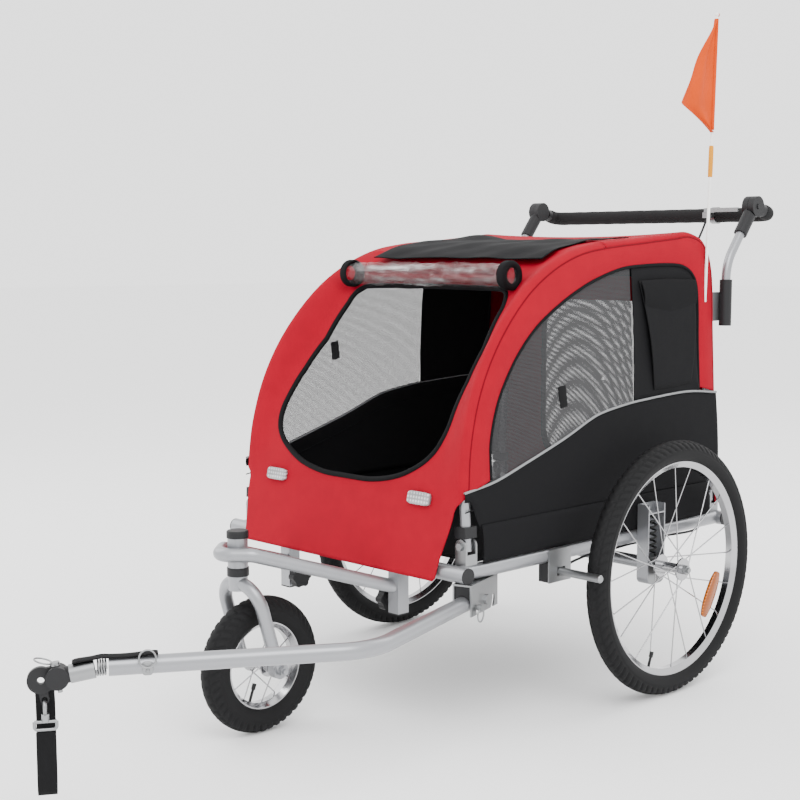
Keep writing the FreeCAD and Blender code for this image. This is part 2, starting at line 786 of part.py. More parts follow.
arm_radius = arm_diameter / 2
bracket_half = arm_radius + tow_bracket_side_gap
bracket_outer = bracket_half + tow_bracket_wall
web_top_z = rail_z - cross_tube_diameter / 2
web_bottom_z = web_top_z - tow_bracket_wall
channel = box(Vector(-tow_bracket_rear, -bracket_outer, tow_bracket_bottom_z),
              Vector(tow_bracket_front, bracket_outer, web_top_z))
channel = channel.cut(box(Vector(-tow_bracket_rear - overrun, -bracket_half, 0),
                          Vector(tow_bracket_front + overrun, bracket_half, web_bottom_z)))
tow_bolt_line = (Vector(0, -bracket_outer, tow_z), Vector(0, bracket_outer, tow_z))
pin_radius = math.hypot(lock_pin_reach, tow_z - lock_pin_z)
notch_half = lock_pin_diameter / 2 + lock_pin_notch_gap
notch_line = (Vector(0, -bracket_outer - overrun, tow_z), Vector(0, bracket_outer + overrun, tow_z))
notch_ring = bar(*notch_line, 2 * (pin_radius + notch_half))
notch_ring = notch_ring.cut(bar(*notch_line, 2 * (pin_radius - notch_half)))
fold_turn = math.atan2(tow_z - lock_pin_z, lock_pin_reach) + math.radians(tow_fold_angle)
fold_reach = pin_radius * math.cos(fold_turn)
fold_z = tow_z - pin_radius * math.sin(fold_turn)
front_notch = notch_ring.common(box(Vector(0, -bracket_outer - overrun, 0),
                                    Vector(tow_bracket_front, bracket_outer + overrun, lock_pin_z)))
rear_notch = notch_ring.common(box(Vector(-tow_bracket_rear, -bracket_outer - overrun, 0),
                                   Vector(0, bracket_outer + overrun, fold_z)))
pin_holes = []
for reach, height in ((lock_pin_reach, lock_pin_z), (fold_reach, fold_z)):
    pin_holes.append(bar(Vector(reach, -bracket_outer - overrun, height),
                         Vector(reach, bracket_outer + overrun, height), 2 * notch_half))
channel = channel.cut(Part.makeCompound([front_notch, rear_notch]))
channel = channel.cut(Part.makeCompound(pin_holes)).cut(bar(*tow_bolt_line, tow_bolt_diameter))
keep("tow_bracket", in_tow_frame(channel))
tow_head = hexagon(tow_head_share * tow_bolt_diameter, bolt_head_height, tow_bolt_line[1], Vector(0, 1, 0))
tow_nut = hexagon(tow_head_share * tow_bolt_diameter, bolt_head_height, tow_bolt_line[0], Vector(0, -1, 0))
tow_bolt = joined(bar(*tow_bolt_line, tow_bolt_diameter), tow_head, tow_nut)
keep("frame_bolts", *bolt_solids, in_tow_frame(tow_bolt))
liner = box(Vector(liner_rear, -bracket_half + seat_gap, tow_z),
            Vector(tow_bracket_front - liner_front_inset, bracket_half - seat_gap, web_bottom_z))
liner = liner.cut(bar(Vector(0, 0, tow_z), Vector(tow_bracket_front, 0, tow_z), arm_diameter + 2 * seat_gap))
keep("tow_bracket_liner", in_tow_frame(liner.Solids[0]))

# Tow arm: one tube with a single bend, the lock pin that rides in it

first_end = Vector(arm_first_run, 0, tow_z)
second_way = Vector(math.cos(math.radians(arm_turn)), -math.sin(math.radians(arm_turn)), 0)
arm_end = first_end + second_way * arm_second_run
arm_points = [Vector(-arm_tail, 0, tow_z), first_end, arm_end]
arm = tube(arm_points, (arm_bend_radius,), arm_diameter, arm_wall)
arm = arm.cut(bar(*tow_bolt_line, tow_bolt_diameter + 2 * running_gap))
lock_pin_line = (Vector(lock_pin_reach, -bracket_outer - lock_pin_tail, lock_pin_z),
                 Vector(lock_pin_reach, bracket_outer + lock_pin_tail, lock_pin_z))
arm = arm.cut(bar(*lock_pin_line, lock_pin_diameter + 2 * running_gap))
keep("tow_arm", in_tow_frame(arm))
pin_head = Part.makeCylinder(lock_pin_head_diameter / 2, lock_pin_head_height, lock_pin_line[1],
                             Vector(0, 1, 0))
pull_y = lock_pin_line[1].y + lock_pin_head_height / 2
pull_centre = Vector(lock_pin_reach, pull_y, lock_pin_z - bail_drop / 2)
bail = Part.makeTorus(bail_drop / 2, bail_wire / 2, pull_centre, Vector(0, 1, 0))
keep("lock_pin", in_tow_frame(joined(bar(*lock_pin_line, lock_pin_diameter), pin_head, bail)))

# Hitch: spring, sleeve, coupler, pin, strap and hook, in a frame whose +X runs along the arm's second run

coil_centre = first_end + second_way * (arm_second_run + coil_gap_length / 2)


def in_hitch_frame(shape):
    """Droop the coupler about the spring's middle, then place it at the arm's end."""
    copy = turned(shape, Vector(), Vector(0, 1, 0), coupler_droop)
    copy = turned(copy, Vector(), Vector(0, 0, 1), -arm_turn)
    return in_tow_frame(moved(copy, coil_centre.x, coil_centre.y, coil_centre.z))


coil_tilt_room = coil_diameter * math.sin(math.radians(coupler_droop / 2))
coil_length = coil_gap_length - coil_wire - 2 * seat_gap - coil_tilt_room
coil = coil_spring(coil_diameter - coil_wire, coil_wire, coil_length, coil_turns)
coil = turned(coil, Vector(), Vector(0, 1, 0), 90)
coil = turned(moved(coil, -coil_length / 2, 0, 0), Vector(), Vector(0, 1, 0), -coupler_droop / 2)
keep("coupler_spring", in_hitch_frame(coil))
half_gap = coil_gap_length / 2
sleeve_end = half_gap + sleeve_length
sleeve = bar(Vector(half_gap, 0, 0), Vector(sleeve_end, 0, 0), sleeve_diameter)
sleeve = sleeve.cut(bar(Vector(half_gap, 0, 0), Vector(sleeve_end, 0, 0), coupler_stem_diameter))
keep("coupler_sleeve", in_hitch_frame(sleeve))
stem = bar(Vector(half_gap, 0, 0), Vector(sleeve_end, 0, 0), coupler_stem_diameter)
neck = bar(Vector(sleeve_end, 0, 0), Vector(coupler_drum_reach, 0, 0), coupler_neck_diameter)
drum = bar(Vector(coupler_drum_reach, -coupler_drum_width / 2, 0),
           Vector(coupler_drum_reach, coupler_drum_width / 2, 0), coupler_drum_diameter)
half_eye = eye_thickness / 2
eye_ring = bar(Vector(eye_reach, -half_eye, 0), Vector(eye_reach, half_eye, 0), eye_diameter)
eye_web = box(Vector(coupler_drum_reach, -half_eye, -coupler_drum_diameter / 2),
              Vector(eye_reach, half_eye, coupler_drum_diameter / 2))
eye_bore = bar(Vector(eye_reach, -overrun - half_eye, 0), Vector(eye_reach, overrun + half_eye, 0),
               eye_bore_diameter)
pin_top = coupler_drum_diameter / 2
pin_line = (Vector(coupler_drum_reach, 0, -pin_top - hitch_pin_tail), Vector(coupler_drum_reach, 0, pin_top))
pin_bore = bar(*pin_line, hitch_pin_diameter + 2 * running_gap)
half_eyelet = eyelet_thickness / 2
eyelet_tab = box(Vector(eye_reach - eyelet_width / 2, -half_eyelet, -eyelet_drop),
                 Vector(eye_reach + eyelet_width / 2, half_eyelet, -eye_diameter / 4))
eyelet_line = (Vector(eye_reach, -half_eyelet, -eyelet_drop), Vector(eye_reach, half_eyelet, -eyelet_drop))
eyelet_bore = bar(*eyelet_line, eyelet_bore_diameter)
coupler = joined(stem, neck, drum, eye_ring, eye_web, eyelet_tab, bar(*eyelet_line, eyelet_width))
coupler = coupler.cut(eye_bore).cut(pin_bore).cut(eyelet_bore)
keep("coupler", in_hitch_frame(coupler))
hitch_pin = bar(*pin_line, hitch_pin_diameter)
hitch_head = Part.makeCylinder(hitch_pin_head_diameter / 2, hitch_pin_head_height,
                               pin_line[1] + Vector(0, 0, seat_gap))
hitch_neck = Part.makeCylinder(hitch_pin_diameter / 2, hitch_pin_head_height, pin_line[1])
ring_way = Vector(math.cos(math.radians(ring_tilt)), 0, math.sin(math.radians(ring_tilt)))
ring_reach = ring_diameter / 2 + hitch_pin_head_diameter / 2 - ring_wire
ring_centre = pin_line[1] + Vector(0, 0, seat_gap + hitch_pin_head_height / 2) + ring_way * ring_reach
pull_ring = Part.makeTorus(ring_diameter / 2, ring_wire / 2, ring_centre,
                           Vector(-ring_way.z, 0, ring_way.x))
keep("hitch_pin", in_hitch_frame(joined(hitch_pin, hitch_neck, hitch_head, pull_ring)))

# The safety strap is flat webbing: it hangs plumb behind the coupler and doubles back up to the snap hook,
# which is clipped in the coupler's eyelet


def hanging(shape):
    copy = turned(shape, Vector(), Vector(0, 0, 1), -arm_turn)
    return in_tow_frame(moved(copy, coil_centre.x, coil_centre.y, coil_centre.z))


def free_radii(points):
    """The largest arc at each inner point: 0.45 of the shorter run over the tangent of half the turn."""
    radii = []
    for before, corner, after in zip(points, points[1:], points[2:]):
        half_turn = (math.pi - (before - corner).getAngle(after - corner)) / 2
        shorter = min((before - corner).Length, (after - corner).Length)
        radii.append(free_run_share * shorter / math.tan(half_turn))
    print("cord radii", [round(radius, 1) for radius in radii])
    return radii


droop = math.radians(coupler_droop)
hook_reach = eye_reach * math.cos(droop) - eyelet_drop * math.sin(droop)
eyelet_z = -eye_reach * math.sin(droop) - eyelet_drop * math.cos(droop)
strap_points = [Vector(hook_reach, aside, drop) for aside, drop in strap_route]
strap_path = rounded_path(strap_points, free_radii(strap_points))
strap_way = unit(strap_points[1] - strap_points[0])
strap_side = Vector(1, 0, 0)
strap_face = strap_way.cross(strap_side)
half_wide = strap_side * (strap_width / 2)
half_thick = strap_face * (strap_thickness / 2)
first = strap_points[0]
strap_section = Part.makePolygon([first + half_wide + half_thick, first - half_wide + half_thick,
                                  first - half_wide - half_thick, first + half_wide - half_thick,
                                  first + half_wide + half_thick])
strap = swept(strap_path, strap_section)
print("strap length", round(strap_path.Length), "volume share",
      round(strap.Volume / strap_path.Length / strap_width / strap_thickness, 3))
keep("safety_strap", hanging(strap))
loop_top = eyelet_z - eyelet_bore_diameter / 2 + hook_wire / 2 + 2 * seat_gap
hook_body_top = loop_top - hook_loop_diameter
hook_body_bottom = hook_body_top - hook_body_length
hook_body = bar(Vector(hook_reach, 0, hook_body_bottom), Vector(hook_reach, 0, hook_body_top),
                hook_body_diameter)
hook_loop = Part.makeTorus(hook_loop_diameter / 2, hook_wire / 2,
                           Vector(hook_reach, 0, loop_top - hook_loop_diameter / 2), Vector(1, 0, 0))
hook_corners = [
    Vector(hook_reach - hook_ring_width / 2, 0, hook_body_bottom),
    Vector(hook_reach - hook_ring_width / 2, 0, hook_body_bottom - hook_ring_height),
    Vector(hook_reach + hook_ring_width / 2, 0, hook_body_bottom - hook_ring_height),
    Vector(hook_reach + hook_ring_width / 2, 0, hook_body_bottom),
]
hook_frame = rod(hook_corners, (hook_wire, hook_wire), hook_wire)
hook_top_bar = bar(hook_corners[0], hook_corners[3], hook_wire)
keep("snap_hook", hanging(joined(hook_body, hook_loop, hook_frame, hook_top_bar)))

# Suspension: channel brackets open outward, sliding axle blocks, coil springs

bracket_out = bracket_in + bracket_depth
half_bracket = bracket_width / 2
bracket_points = [
    Vector(bracket_in, -half_bracket, bracket_bottom_z),
    Vector(bracket_in, half_bracket, bracket_bottom_z),
    Vector(bracket_in, half_bracket, bracket_top_z),
    Vector(bracket_in, -half_bracket, bracket_top_z),
]
bracket_radii = (bracket_corner_radius, bracket_corner_radius, bracket_wall, bracket_wall)
bracket = prism(bracket_points, bracket_radii, Vector(bracket_depth, 0, 0))
hollow_half = half_bracket - bracket_wall
hollow_in = bracket_in + bracket_wall
bracket = bracket.cut(box(Vector(hollow_in, -hollow_half, bracket_bottom_z + bracket_wall),
                          Vector(bracket_out + overrun, hollow_half, bracket_seat_z)))
bracket = bracket.cut(box(Vector(hollow_in, -hollow_half, bracket_seat_z + bracket_wall),
                          Vector(bracket_out + overrun, hollow_half, bracket_top_z + overrun)))
keep("suspension_brackets", bracket, mirrored(bracket))
block_low = Vector(hollow_in + seat_gap, -hollow_half + seat_gap, bracket_bottom_z + bracket_wall + seat_gap)
block_high = Vector(bracket_out, hollow_half - seat_gap, axle_block_top_z)
hub_in = wheel_x - hub_length / 2
hub_out = wheel_x + hub_length / 2
nut_base = Vector(hub_out + seat_gap, 0, axle_z)
stub_end = Vector(hub_out + seat_gap + axle_nut_height + axle_tip_length, 0, axle_z)
axle_block = joined(
    box(block_low, block_high),
    bar(Vector(bracket_out, 0, axle_z), Vector(hub_in - seat_gap, 0, axle_z), axle_shoulder_diameter),
    bar(Vector(bracket_out, 0, axle_z), stub_end, axle_diameter),
    hexagon(axle_nut_width, axle_nut_height, nut_base, Vector(1, 0, 0)),
)
keep("left_axle", axle_block)
keep("right_axle", mirrored(axle_block))
spring_x = (hollow_in + bracket_out) / 2
spring_low = axle_block_top_z + seat_gap + suspension_wire / 2
spring_high = bracket_seat_z - seat_gap - suspension_wire / 2
spring = coil_spring(suspension_coil_diameter - suspension_wire, suspension_wire,
                     spring_high - spring_low, suspension_turns)
spring = moved(spring, spring_x, 0, spring_low)
keep("left_spring", spring)
keep("right_spring", mirrored(spring))

# Parking brake: slotted plate and housing under the left rail, sliding rod, cable to the handle

slot_half = brake_rod_diameter / 2 + seat_gap
slot_low = Vector(brake_rod_start_x - seat_gap, brake_y - slot_half, brake_z - slot_half)
slot_high = Vector(bracket_in + brake_plate_thickness + overrun, brake_y + slot_half + brake_stroke,
                   brake_z + slot_half)
plate_low = Vector(bracket_in, brake_y - brake_plate_length / 2, brake_plate_bottom_z)
plate_high = Vector(bracket_in + brake_plate_thickness, brake_y + brake_plate_length / 2, brake_plate_top_z)
keep("brake_mount", box(plate_low, plate_high).cut(box(slot_low, slot_high)))
box_low = Vector(bracket_in - brake_box_depth, brake_y - brake_box_length / 2, brake_plate_bottom_z)
box_high = Vector(bracket_in, brake_y + brake_box_length / 2, rail_z - frame_tube_diameter / 2)
keep("brake_housing", box(box_low, box_high).cut(box(slot_low, slot_high)))
brake_rod = bar(Vector(brake_rod_start_x, brake_y, brake_z), Vector(brake_rod_end_x, brake_y, brake_z),
                brake_rod_diameter)
rod_tip_x = brake_rod_end_x - brake_rod_chamfer
rod_tip_edges = [edge for edge in brake_rod.Edges if edge.BoundBox.XMin > rod_tip_x]
brake_rod = brake_rod.makeChamfer(brake_rod_chamfer, rod_tip_edges)
keep("brake_rod", brake_rod)
cable_end = Vector(rail_x, brake_y + brake_box_length / 2 + seat_gap, brake_z)
cable_points = [Vector(rail_x + inboard, y, z) for inboard, y, z in cable_route]
cable_points += [cable_end + Vector(*step) for step in cable_end_route]
cable_path = rounded_path(cable_points, free_radii(cable_points))
cable = swept(cable_path, Part.Wire(Part.makeCircle(cable_diameter / 2, cable_points[0],
                                                    cable_points[1] - cable_points[0])))
print("cable length", round(cable_path.Length), "volume share",
      round(cable.Volume / cable_path.Length / (math.pi * cable_diameter ** 2 / 4), 3))
keep("brake_cable", cable)

# Cabin profile in the plane of a side: apron, nose, roof and rear, as corners with a radius each


def profile(low_corner_z, high_corner_y, low_radius, high_radius, end_y):
    """Corner points and radii of the front profile from the apron's hem to a point on the roof."""
    points = [
        Vector(0, apron_bottom_y, apron_bottom_z),
        Vector(0, cabin_front_y, nose_start_z),
        Vector(0, cabin_front_y, low_corner_z),
        Vector(0, high_corner_y, roof_z(high_corner_y)),
        Vector(0, end_y, roof_z(end_y)),
    ]
    return points, [apron_bend_radius, low_radius, high_radius]


def inset(points, radii, depth):
    """The same run of corners moved inward, to the right of its way, by a depth."""
    normals = []
    for start, end in zip(points, points[1:]):
        way = unit(end - start)
        normals.append(Vector(0, way.z, -way.y))
    moved_points = [points[0] + normals[0] * depth]
    moved_radii = []
    for corner, before, after, radius in zip(points[1:], normals, normals[1:], radii):
        bisector = unit(before + after)
        moved_points.append(corner + bisector * (depth / bisector.dot(before)))
        outward = before.cross(after).x
        moved_radii.append(radius - depth if outward < 0 else radius + depth)
    moved_points.append(points[-1] + normals[-1] * depth)
    return moved_points, moved_radii


def band(points, radii, depth):
    """A closed section between a run of corners and the same run moved inward."""
    inner_points, inner_radii = inset(points, radii, depth)
    outer = rounded_path(points, radii)
    inner = rounded_path(inner_points, inner_radii)
    caps = [Part.LineSegment(points[-1], inner_points[-1]).toShape(),
            Part.LineSegment(inner_points[0], points[0]).toShape()]
    return Part.Wire(Part.__sortEdges__(outer.Edges + inner.Edges + caps))


seam = profile(nose_low_corner_z, nose_high_corner_y, nose_radius, nose_radius, brow_y)
dish = profile(dish_low_corner_z, dish_high_corner_y, dish_low_radius, dish_high_radius, brow_y)
sections = []
for across, run in ((-cabin_half_width, seam), (-dish_half_width, dish), (0, dish),
                    (dish_half_width, dish), (cabin_half_width, seam)):
    section = band(*run, fabric_thickness)
    section.translate(Vector(across, 0, 0))
    sections.append(section)
front_panel = Part.makeLoft(sections, True, True)
door_points = [
    Vector(-door_half_width_low, 0, door_bottom_z),
    Vector(door_half_width_low, 0, door_bottom_z),
    Vector(door_half_width_high, 0, door_top_z),
    Vector(-door_half_width_high, 0, door_top_z),
]
door_radii = (door_low_radius, door_low_radius, door_high_radius, door_high_radius)
door_hole = prism(door_points, door_radii, Vector(0, 2 * apron_bottom_y, 0))
front_panel = front_panel.cut(door_hole)
keep("front_panel", front_panel)

rear_points = [
    Vector(0, brow_y + fabric_gap, roof_z(brow_y + fabric_gap)),
    Vector(0, cabin_rear_y, roof_z(cabin_rear_y)),
    Vector(0, cabin_rear_y, rear_panel_bottom_z),
]
roof_and_rear = Part.Face(band(rear_points, [rear_corner_radius], fabric_thickness)).extrude(
    Vector(2 * cabin_half_width, 0, 0))
roof_and_rear = moved(roof_and_rear, -cabin_half_width, 0, 0)
rear_split_z = roof_z(cabin_rear_y) - rear_corner_radius
split_low = Vector(-2 * cabin_half_width, 0, 0)
rear_block = box(split_low, Vector(2 * cabin_half_width, 2 * cabin_rear_y, rear_split_z - fabric_gap / 2))
roof_block = box(Vector(-2 * cabin_half_width, 2 * cabin_front_y, rear_split_z + fabric_gap / 2),
                 Vector(2 * cabin_half_width, 2 * cabin_rear_y, 2 * rear_split_z))
keep("rear_panel", roof_and_rear.common(rear_block))
keep("roof_panel", roof_and_rear.common(roof_block))

# Side frames: one bent tube on each side, with the clip that carries the handle sleeve

seam_points, seam_radii = seam
arch_outline = seam_points[1:4] + [Vector(0, cabin_rear_y, roof_z(cabin_rear_y)),
                                   Vector(0, cabin_rear_y, panel_bottom_z)]
arch_outline_radii = [nose_radius, nose_radius, rear_corner_radius]
arch_points, arch_radii = inset(arch_outline, arch_outline_radii, tube_inset)
post_foot_z = hinge_z - post_diameter / 2
arch_points[0] = Vector(0, arch_points[0].y, post_foot_z)
arch_points[-1] = Vector(0, arch_points[-1].y, post_foot_z)
arch = tube(arch_points, arch_radii, post_diameter, post_wall)
arch = moved(arch, hinge_x, 0, 0)
hinge_line = (Vector(hinge_x, 0, hinge_z), Vector(0, 1, 0))


def leaned(shape):
    return turned(shape, *hinge_line, -side_lean)


clip_outer_x = handle_x - handle_sleeve_diameter / 2 - fabric_gap
clip_low_z = sleeve_top_z - handle_sleeve_diameter - clip_height
clip = box(Vector(clip_outer_x - clip_thickness, arch_points[-1].y, clip_low_z),
           Vector(clip_outer_x, handle_y + handle_sleeve_diameter / 4, clip_low_z + clip_height))
bolt_bores = []
for post_y in (front_post_y, rear_post_y):
    bolt_bores.append(bar(Vector(hinge_x, post_y - knuckle_depth, hinge_z),
                          Vector(hinge_x, post_y + knuckle_depth, hinge_z),
                          hinge_bolt_diameter + 2 * running_gap))
arch_core = moved(rod(arch_points, arch_radii, post_diameter), hinge_x, 0, 0)
side_frame = joined(leaned(arch), clip.cut(leaned(arch_core)))
side_frame = side_frame.cut(Part.makeCompound(bolt_bores))
keep("left_side_frame", side_frame)
keep("right_side_frame", mirrored(side_frame))

collar_solids = []
collar_low = hinge_z + knuckle_width / 2 + collar_gap
for post_y in (arch_points[0].y, arch_points[-1].y):
    blank = box(Vector(hinge_x - knuckle_width / 2, post_y - knuckle_depth / 2, collar_low),
                Vector(hinge_x + knuckle_width / 2, post_y + knuckle_depth / 2, collar_low + collar_height))
    bore = bar(Vector(hinge_x, post_y, collar_low - overrun),
               Vector(hinge_x, post_y, collar_low + collar_height + overrun), post_diameter + 2 * seat_gap)
    collar_solids.append(leaned(blank.cut(bore)))
keep("left_collars", *collar_solids)
keep("right_collars", *[mirrored(collar) for collar in collar_solids])

# Side panels with a mesh window, and the loose skirts below them

panel_in = post_diameter / 2 + fabric_gap
panel_outline = [Vector(0, cabin_front_y, panel_bottom_z)] + arch_outline[1:]
panel_path = rounded_path(panel_outline, arch_outline_radii)
panel_close = Part.LineSegment(panel_outline[-1], panel_outline[0]).toShape()
panel_face = Part.Face(Part.Wire(panel_path.Edges + [panel_close]))
panel = moved(panel_face.extrude(Vector(fabric_thickness, 0, 0)), hinge_x + panel_in, 0, 0)
window_points = [
    Vector(0, window_front_y, window_sill_front_z),
    Vector(0, window_rear_y, window_sill_rear_z),
    Vector(0, window_rear_y, window_head_z),
    Vector(0, window_brow_y, window_brow_z),
    Vector(0, window_front_y, window_cheek_z),
]
window_radii = (window_corner_radius,) * 3 + (window_brow_radius, window_cheek_radius)
window = prism(window_points, window_radii, Vector(4 * fabric_thickness, 0, 0))
window = moved(window, hinge_x + panel_in - fabric_thickness, 0, 0)
notch_top = collar_low + collar_height + collar_travel + collar_notch_gap
notch_half_depth = knuckle_depth / 2 + collar_notch_gap
notches = [box(Vector(hinge_x, post_y - notch_half_depth, 0),
               Vector(hinge_x + 2 * knuckle_width, post_y + notch_half_depth, notch_top))
           for post_y in (arch_points[0].y, arch_points[-1].y)]
clip_room = box(Vector(clip_outer_x - 2 * clip_thickness, arch_points[-1].y, clip_low_z - fabric_gap),
                Vector(clip_outer_x + clip_thickness, 2 * handle_y, clip_low_z + clip_height + fabric_gap))
panel = leaned(panel.cut(window).cut(Part.makeCompound(notches))).cut(clip_room)
keep("left_side_panel", panel)
keep("right_side_panel", mirrored(panel))
mesh = prism(window_points, window_radii, Vector(mesh_thickness, 0, 0))
mesh = leaned(moved(mesh, hinge_x + panel_in + (fabric_thickness - mesh_thickness) / 2, 0, 0))
keep("left_window_mesh", mesh)
keep("right_window_mesh", mirrored(mesh))
skirt_x = hinge_x + panel_in
skirt = box(Vector(skirt_x, skirt_front_y, skirt_bottom_z),
            Vector(skirt_x + fabric_thickness, skirt_rear_y, panel_bottom_z - 2 * fabric_gap))
keep("side_skirts", skirt, mirrored(skirt))

floor_z = rail_z + frame_tube_diameter / 2 + seat_gap
floor_half = hinge_x + panel_in - fabric_gap
keep("floor_panel", box(Vector(-floor_half, floor_front_y, floor_z),
                        Vector(floor_half, floor_rear_y, floor_z + floor_thickness)))

# Rolled-up door with its end rings, and the two front reflectors

dish_corner = Vector(0, dish_high_corner_y, roof_z(dish_high_corner_y))
dish_way = unit(Vector(0, cabin_front_y, dish_low_corner_z) - dish_corner)
dish_out = Vector(0, dish_way.z, -dish_way.y)
dish_turn = math.pi - dish_way.getAngle(Vector(0, 1, roof_rise))
dish_run = dish_high_radius * math.tan(dish_turn / 2)
dish_sag = dish_high_radius - math.sqrt(dish_high_radius ** 2 - (dish_run - roll_set) ** 2)
roll_lift = roll_ring_diameter / 2 + seat_gap + fabric_gap - dish_sag
roll_axis = dish_corner + dish_way * roll_set + dish_out * roll_lift
roll_y = roll_axis.y
roll_z = roll_axis.z
roll_line = (Vector(-roll_half_length, roll_y, roll_z), Vector(roll_half_length, roll_y, roll_z))
roll = bar(*roll_line, roll_diameter)
ring_solids = []
for side in (1, -1):
    ring_end = Vector(side * roll_half_length, roll_y, roll_z)
    ring_solids.append(Part.makeCylinder(roll_ring_diameter / 2, roll_ring_width, ring_end,
                                         Vector(-side, 0, 0)))
roll = joined(roll, *ring_solids).cut(bar(*roll_line, roll_hole_diameter))
keep("door_roll", roll)
half_reflector = reflector_width / 2
front_way = Vector(0, apron_bottom_y - cabin_front_y, apron_bottom_z - nose_start_z)
apron_share = (nose_start_z - reflector_z) / (nose_start_z - apron_bottom_z)
reflector_y = cabin_front_y + apron_share * front_way.y
reflector_points = [
    Vector(reflector_x - half_reflector, reflector_y, reflector_z - reflector_height / 2),
    Vector(reflector_x + half_reflector, reflector_y, reflector_z - reflector_height / 2),
    Vector(reflector_x + half_reflector, reflector_y, reflector_z + reflector_height / 2),
    Vector(reflector_x - half_reflector, reflector_y, reflector_z + reflector_height / 2),
]
apron_tilt = math.degrees(math.atan2(front_way.y, front_way.z)) + 180
reflector = prism(reflector_points, (reflector_corner,) * 4, Vector(0, -reflector_thickness, 0))
reflector = turned(reflector, Vector(0, reflector_y, reflector_z), Vector(1, 0, 0), -apron_tilt)
reflector = moved(reflector, 0, -fabric_gap, 0)
keep("front_reflectors", reflector, mirrored(reflector))

# Push handle: bent uprights in sleeves, elbows, U-shaped bar with a foam grip

pivot = Vector(handle_x, handle_pivot_y, handle_pivot_z)
upright_bend = Vector(handle_x, handle_y, upright_bend_z)
upright_way = unit(upright_bend - pivot)
upright_top = pivot + upright_way * (elbow_socket_start + seat_gap)
upright_points = [Vector(handle_x, handle_y, upright_bottom_z), upright_bend, upright_top]
upright = tube(upright_points, (upright_bend_radius,), upright_diameter, upright_wall)
keep("handle_uprights", upright, mirrored(upright))
sleeve_low = upright_bottom_z - handle_sleeve_floor
handle_sleeve = bar(Vector(handle_x, handle_y, sleeve_low), Vector(handle_x, handle_y, sleeve_top_z),
                    handle_sleeve_diameter)
handle_sleeve = handle_sleeve.cut(bar(Vector(handle_x, handle_y, upright_bottom_z),
                                      Vector(handle_x, handle_y, sleeve_top_z), upright_diameter))
inner_x = handle_x - seat_gap
upper_room = bar(Vector(inner_x, handle_pivot_y, handle_pivot_z),
                 Vector(inner_x + 2 * elbow_disc_width, handle_pivot_y, handle_pivot_z),
                 2 * elbow_socket_start)
socket = bar(pivot, pivot + upright_way * elbow_socket_end, elbow_socket_diameter).cut(upper_room)
lower_disc = bar(Vector(inner_x - elbow_disc_width, handle_pivot_y, handle_pivot_z),
                 Vector(inner_x, handle_pivot_y, handle_pivot_z), elbow_disc_diameter)
upright_core = rod(upright_points, (upright_bend_radius,), upright_diameter)
lower_elbow = joined(socket, lower_disc).cut(upright_core)
keep("handle_fittings", handle_sleeve, mirrored(handle_sleeve), lower_elbow, mirrored(lower_elbow))

bar_corner = Vector(handle_x, bar_rear_y, handle_pivot_z - bar_drop)
bar_way = unit(bar_corner - pivot)
bar_start = pivot + bar_way * (elbow_socket_start + seat_gap)
flip = Vector(-2 * handle_x, 0, 0)
bar_points = [bar_start, bar_corner, bar_corner + flip, bar_start + flip]
bar_radii = (bar_corner_radius, bar_corner_radius)
keep("handlebar", tube(bar_points, bar_radii, bar_diameter, bar_wall))
grip_start = pivot + bar_way * (elbow_arm_end + seat_gap)
grip_points = [grip_start, bar_corner, bar_corner + flip, grip_start + flip]
grip = rod(grip_points, bar_radii, grip_diameter)
grip = grip.cut(rod(bar_points, bar_radii, bar_diameter))
keep("handle_grip", grip)
outer_x = handle_x + seat_gap
upper_disc = bar(Vector(outer_x, handle_pivot_y, handle_pivot_z),
                 Vector(outer_x + elbow_disc_width, handle_pivot_y, handle_pivot_z), elbow_disc_diameter)
upper_screw = bar(Vector(outer_x + elbow_disc_width, handle_pivot_y, handle_pivot_z),
                  Vector(outer_x + elbow_disc_width + elbow_screw_height, handle_pivot_y, handle_pivot_z),
                  elbow_screw_diameter)
lower_room = bar(Vector(outer_x - 2 * elbow_disc_width, handle_pivot_y, handle_pivot_z),
                 Vector(outer_x, handle_pivot_y, handle_pivot_z), 2 * elbow_socket_start)
arm_socket = bar(pivot, pivot + bar_way * elbow_arm_end, elbow_socket_diameter).cut(lower_room)
upper_elbow = joined(upper_disc, upper_screw, arm_socket).cut(rod(bar_points, bar_radii, bar_diameter))
keep("elbow_uppers", upper_elbow, mirrored(upper_elbow))

# Brake lever on the bar

clamp_centre = Vector(brake_clamp_x, bar_rear_y, bar_corner.z)
half_clamp = Vector(brake_clamp_width / 2, 0, 0)
clamp = bar(clamp_centre - half_clamp, clamp_centre + half_clamp, grip_diameter + 2 * brake_clamp_wall)
lug_rear_y = bar_rear_y - grip_diameter / 2
lug_front_y = lug_rear_y - lever_lug_length
lug = box(Vector(brake_clamp_x - brake_clamp_width / 2, lug_front_y, bar_corner.z - lever_lug_height / 2),
          Vector(brake_clamp_x + brake_clamp_width / 2, lug_rear_y, bar_corner.z + lever_lug_height / 2))
lever_pivot = Vector(brake_clamp_x, lug_front_y + brake_clamp_width / 2, bar_corner.z)
pin_rise = Vector(0, 0, lever_lug_height / 2 + lever_height + 2 * seat_gap)
lever_pin = bar(lever_pivot, lever_pivot + pin_rise, lever_pin_diameter)
clamp = joined(clamp, lug, lever_pin).cut(bar(clamp_centre - half_clamp * 2, clamp_centre + half_clamp * 2,
                                              grip_diameter))
keep("brake_clamp", clamp)
lever_low_z = bar_corner.z + lever_lug_height / 2 + seat_gap
lever_foot = Vector(lever_pivot.x, lever_pivot.y, lever_low_z)
lever_boss = Part.makeCylinder(brake_clamp_width / 2, lever_height, lever_foot)
blade_low = lever_foot - Vector(0, brake_clamp_width / 2, 0)
lever_blade = box(blade_low, blade_low + Vector(lever_length, lever_thickness, lever_height))
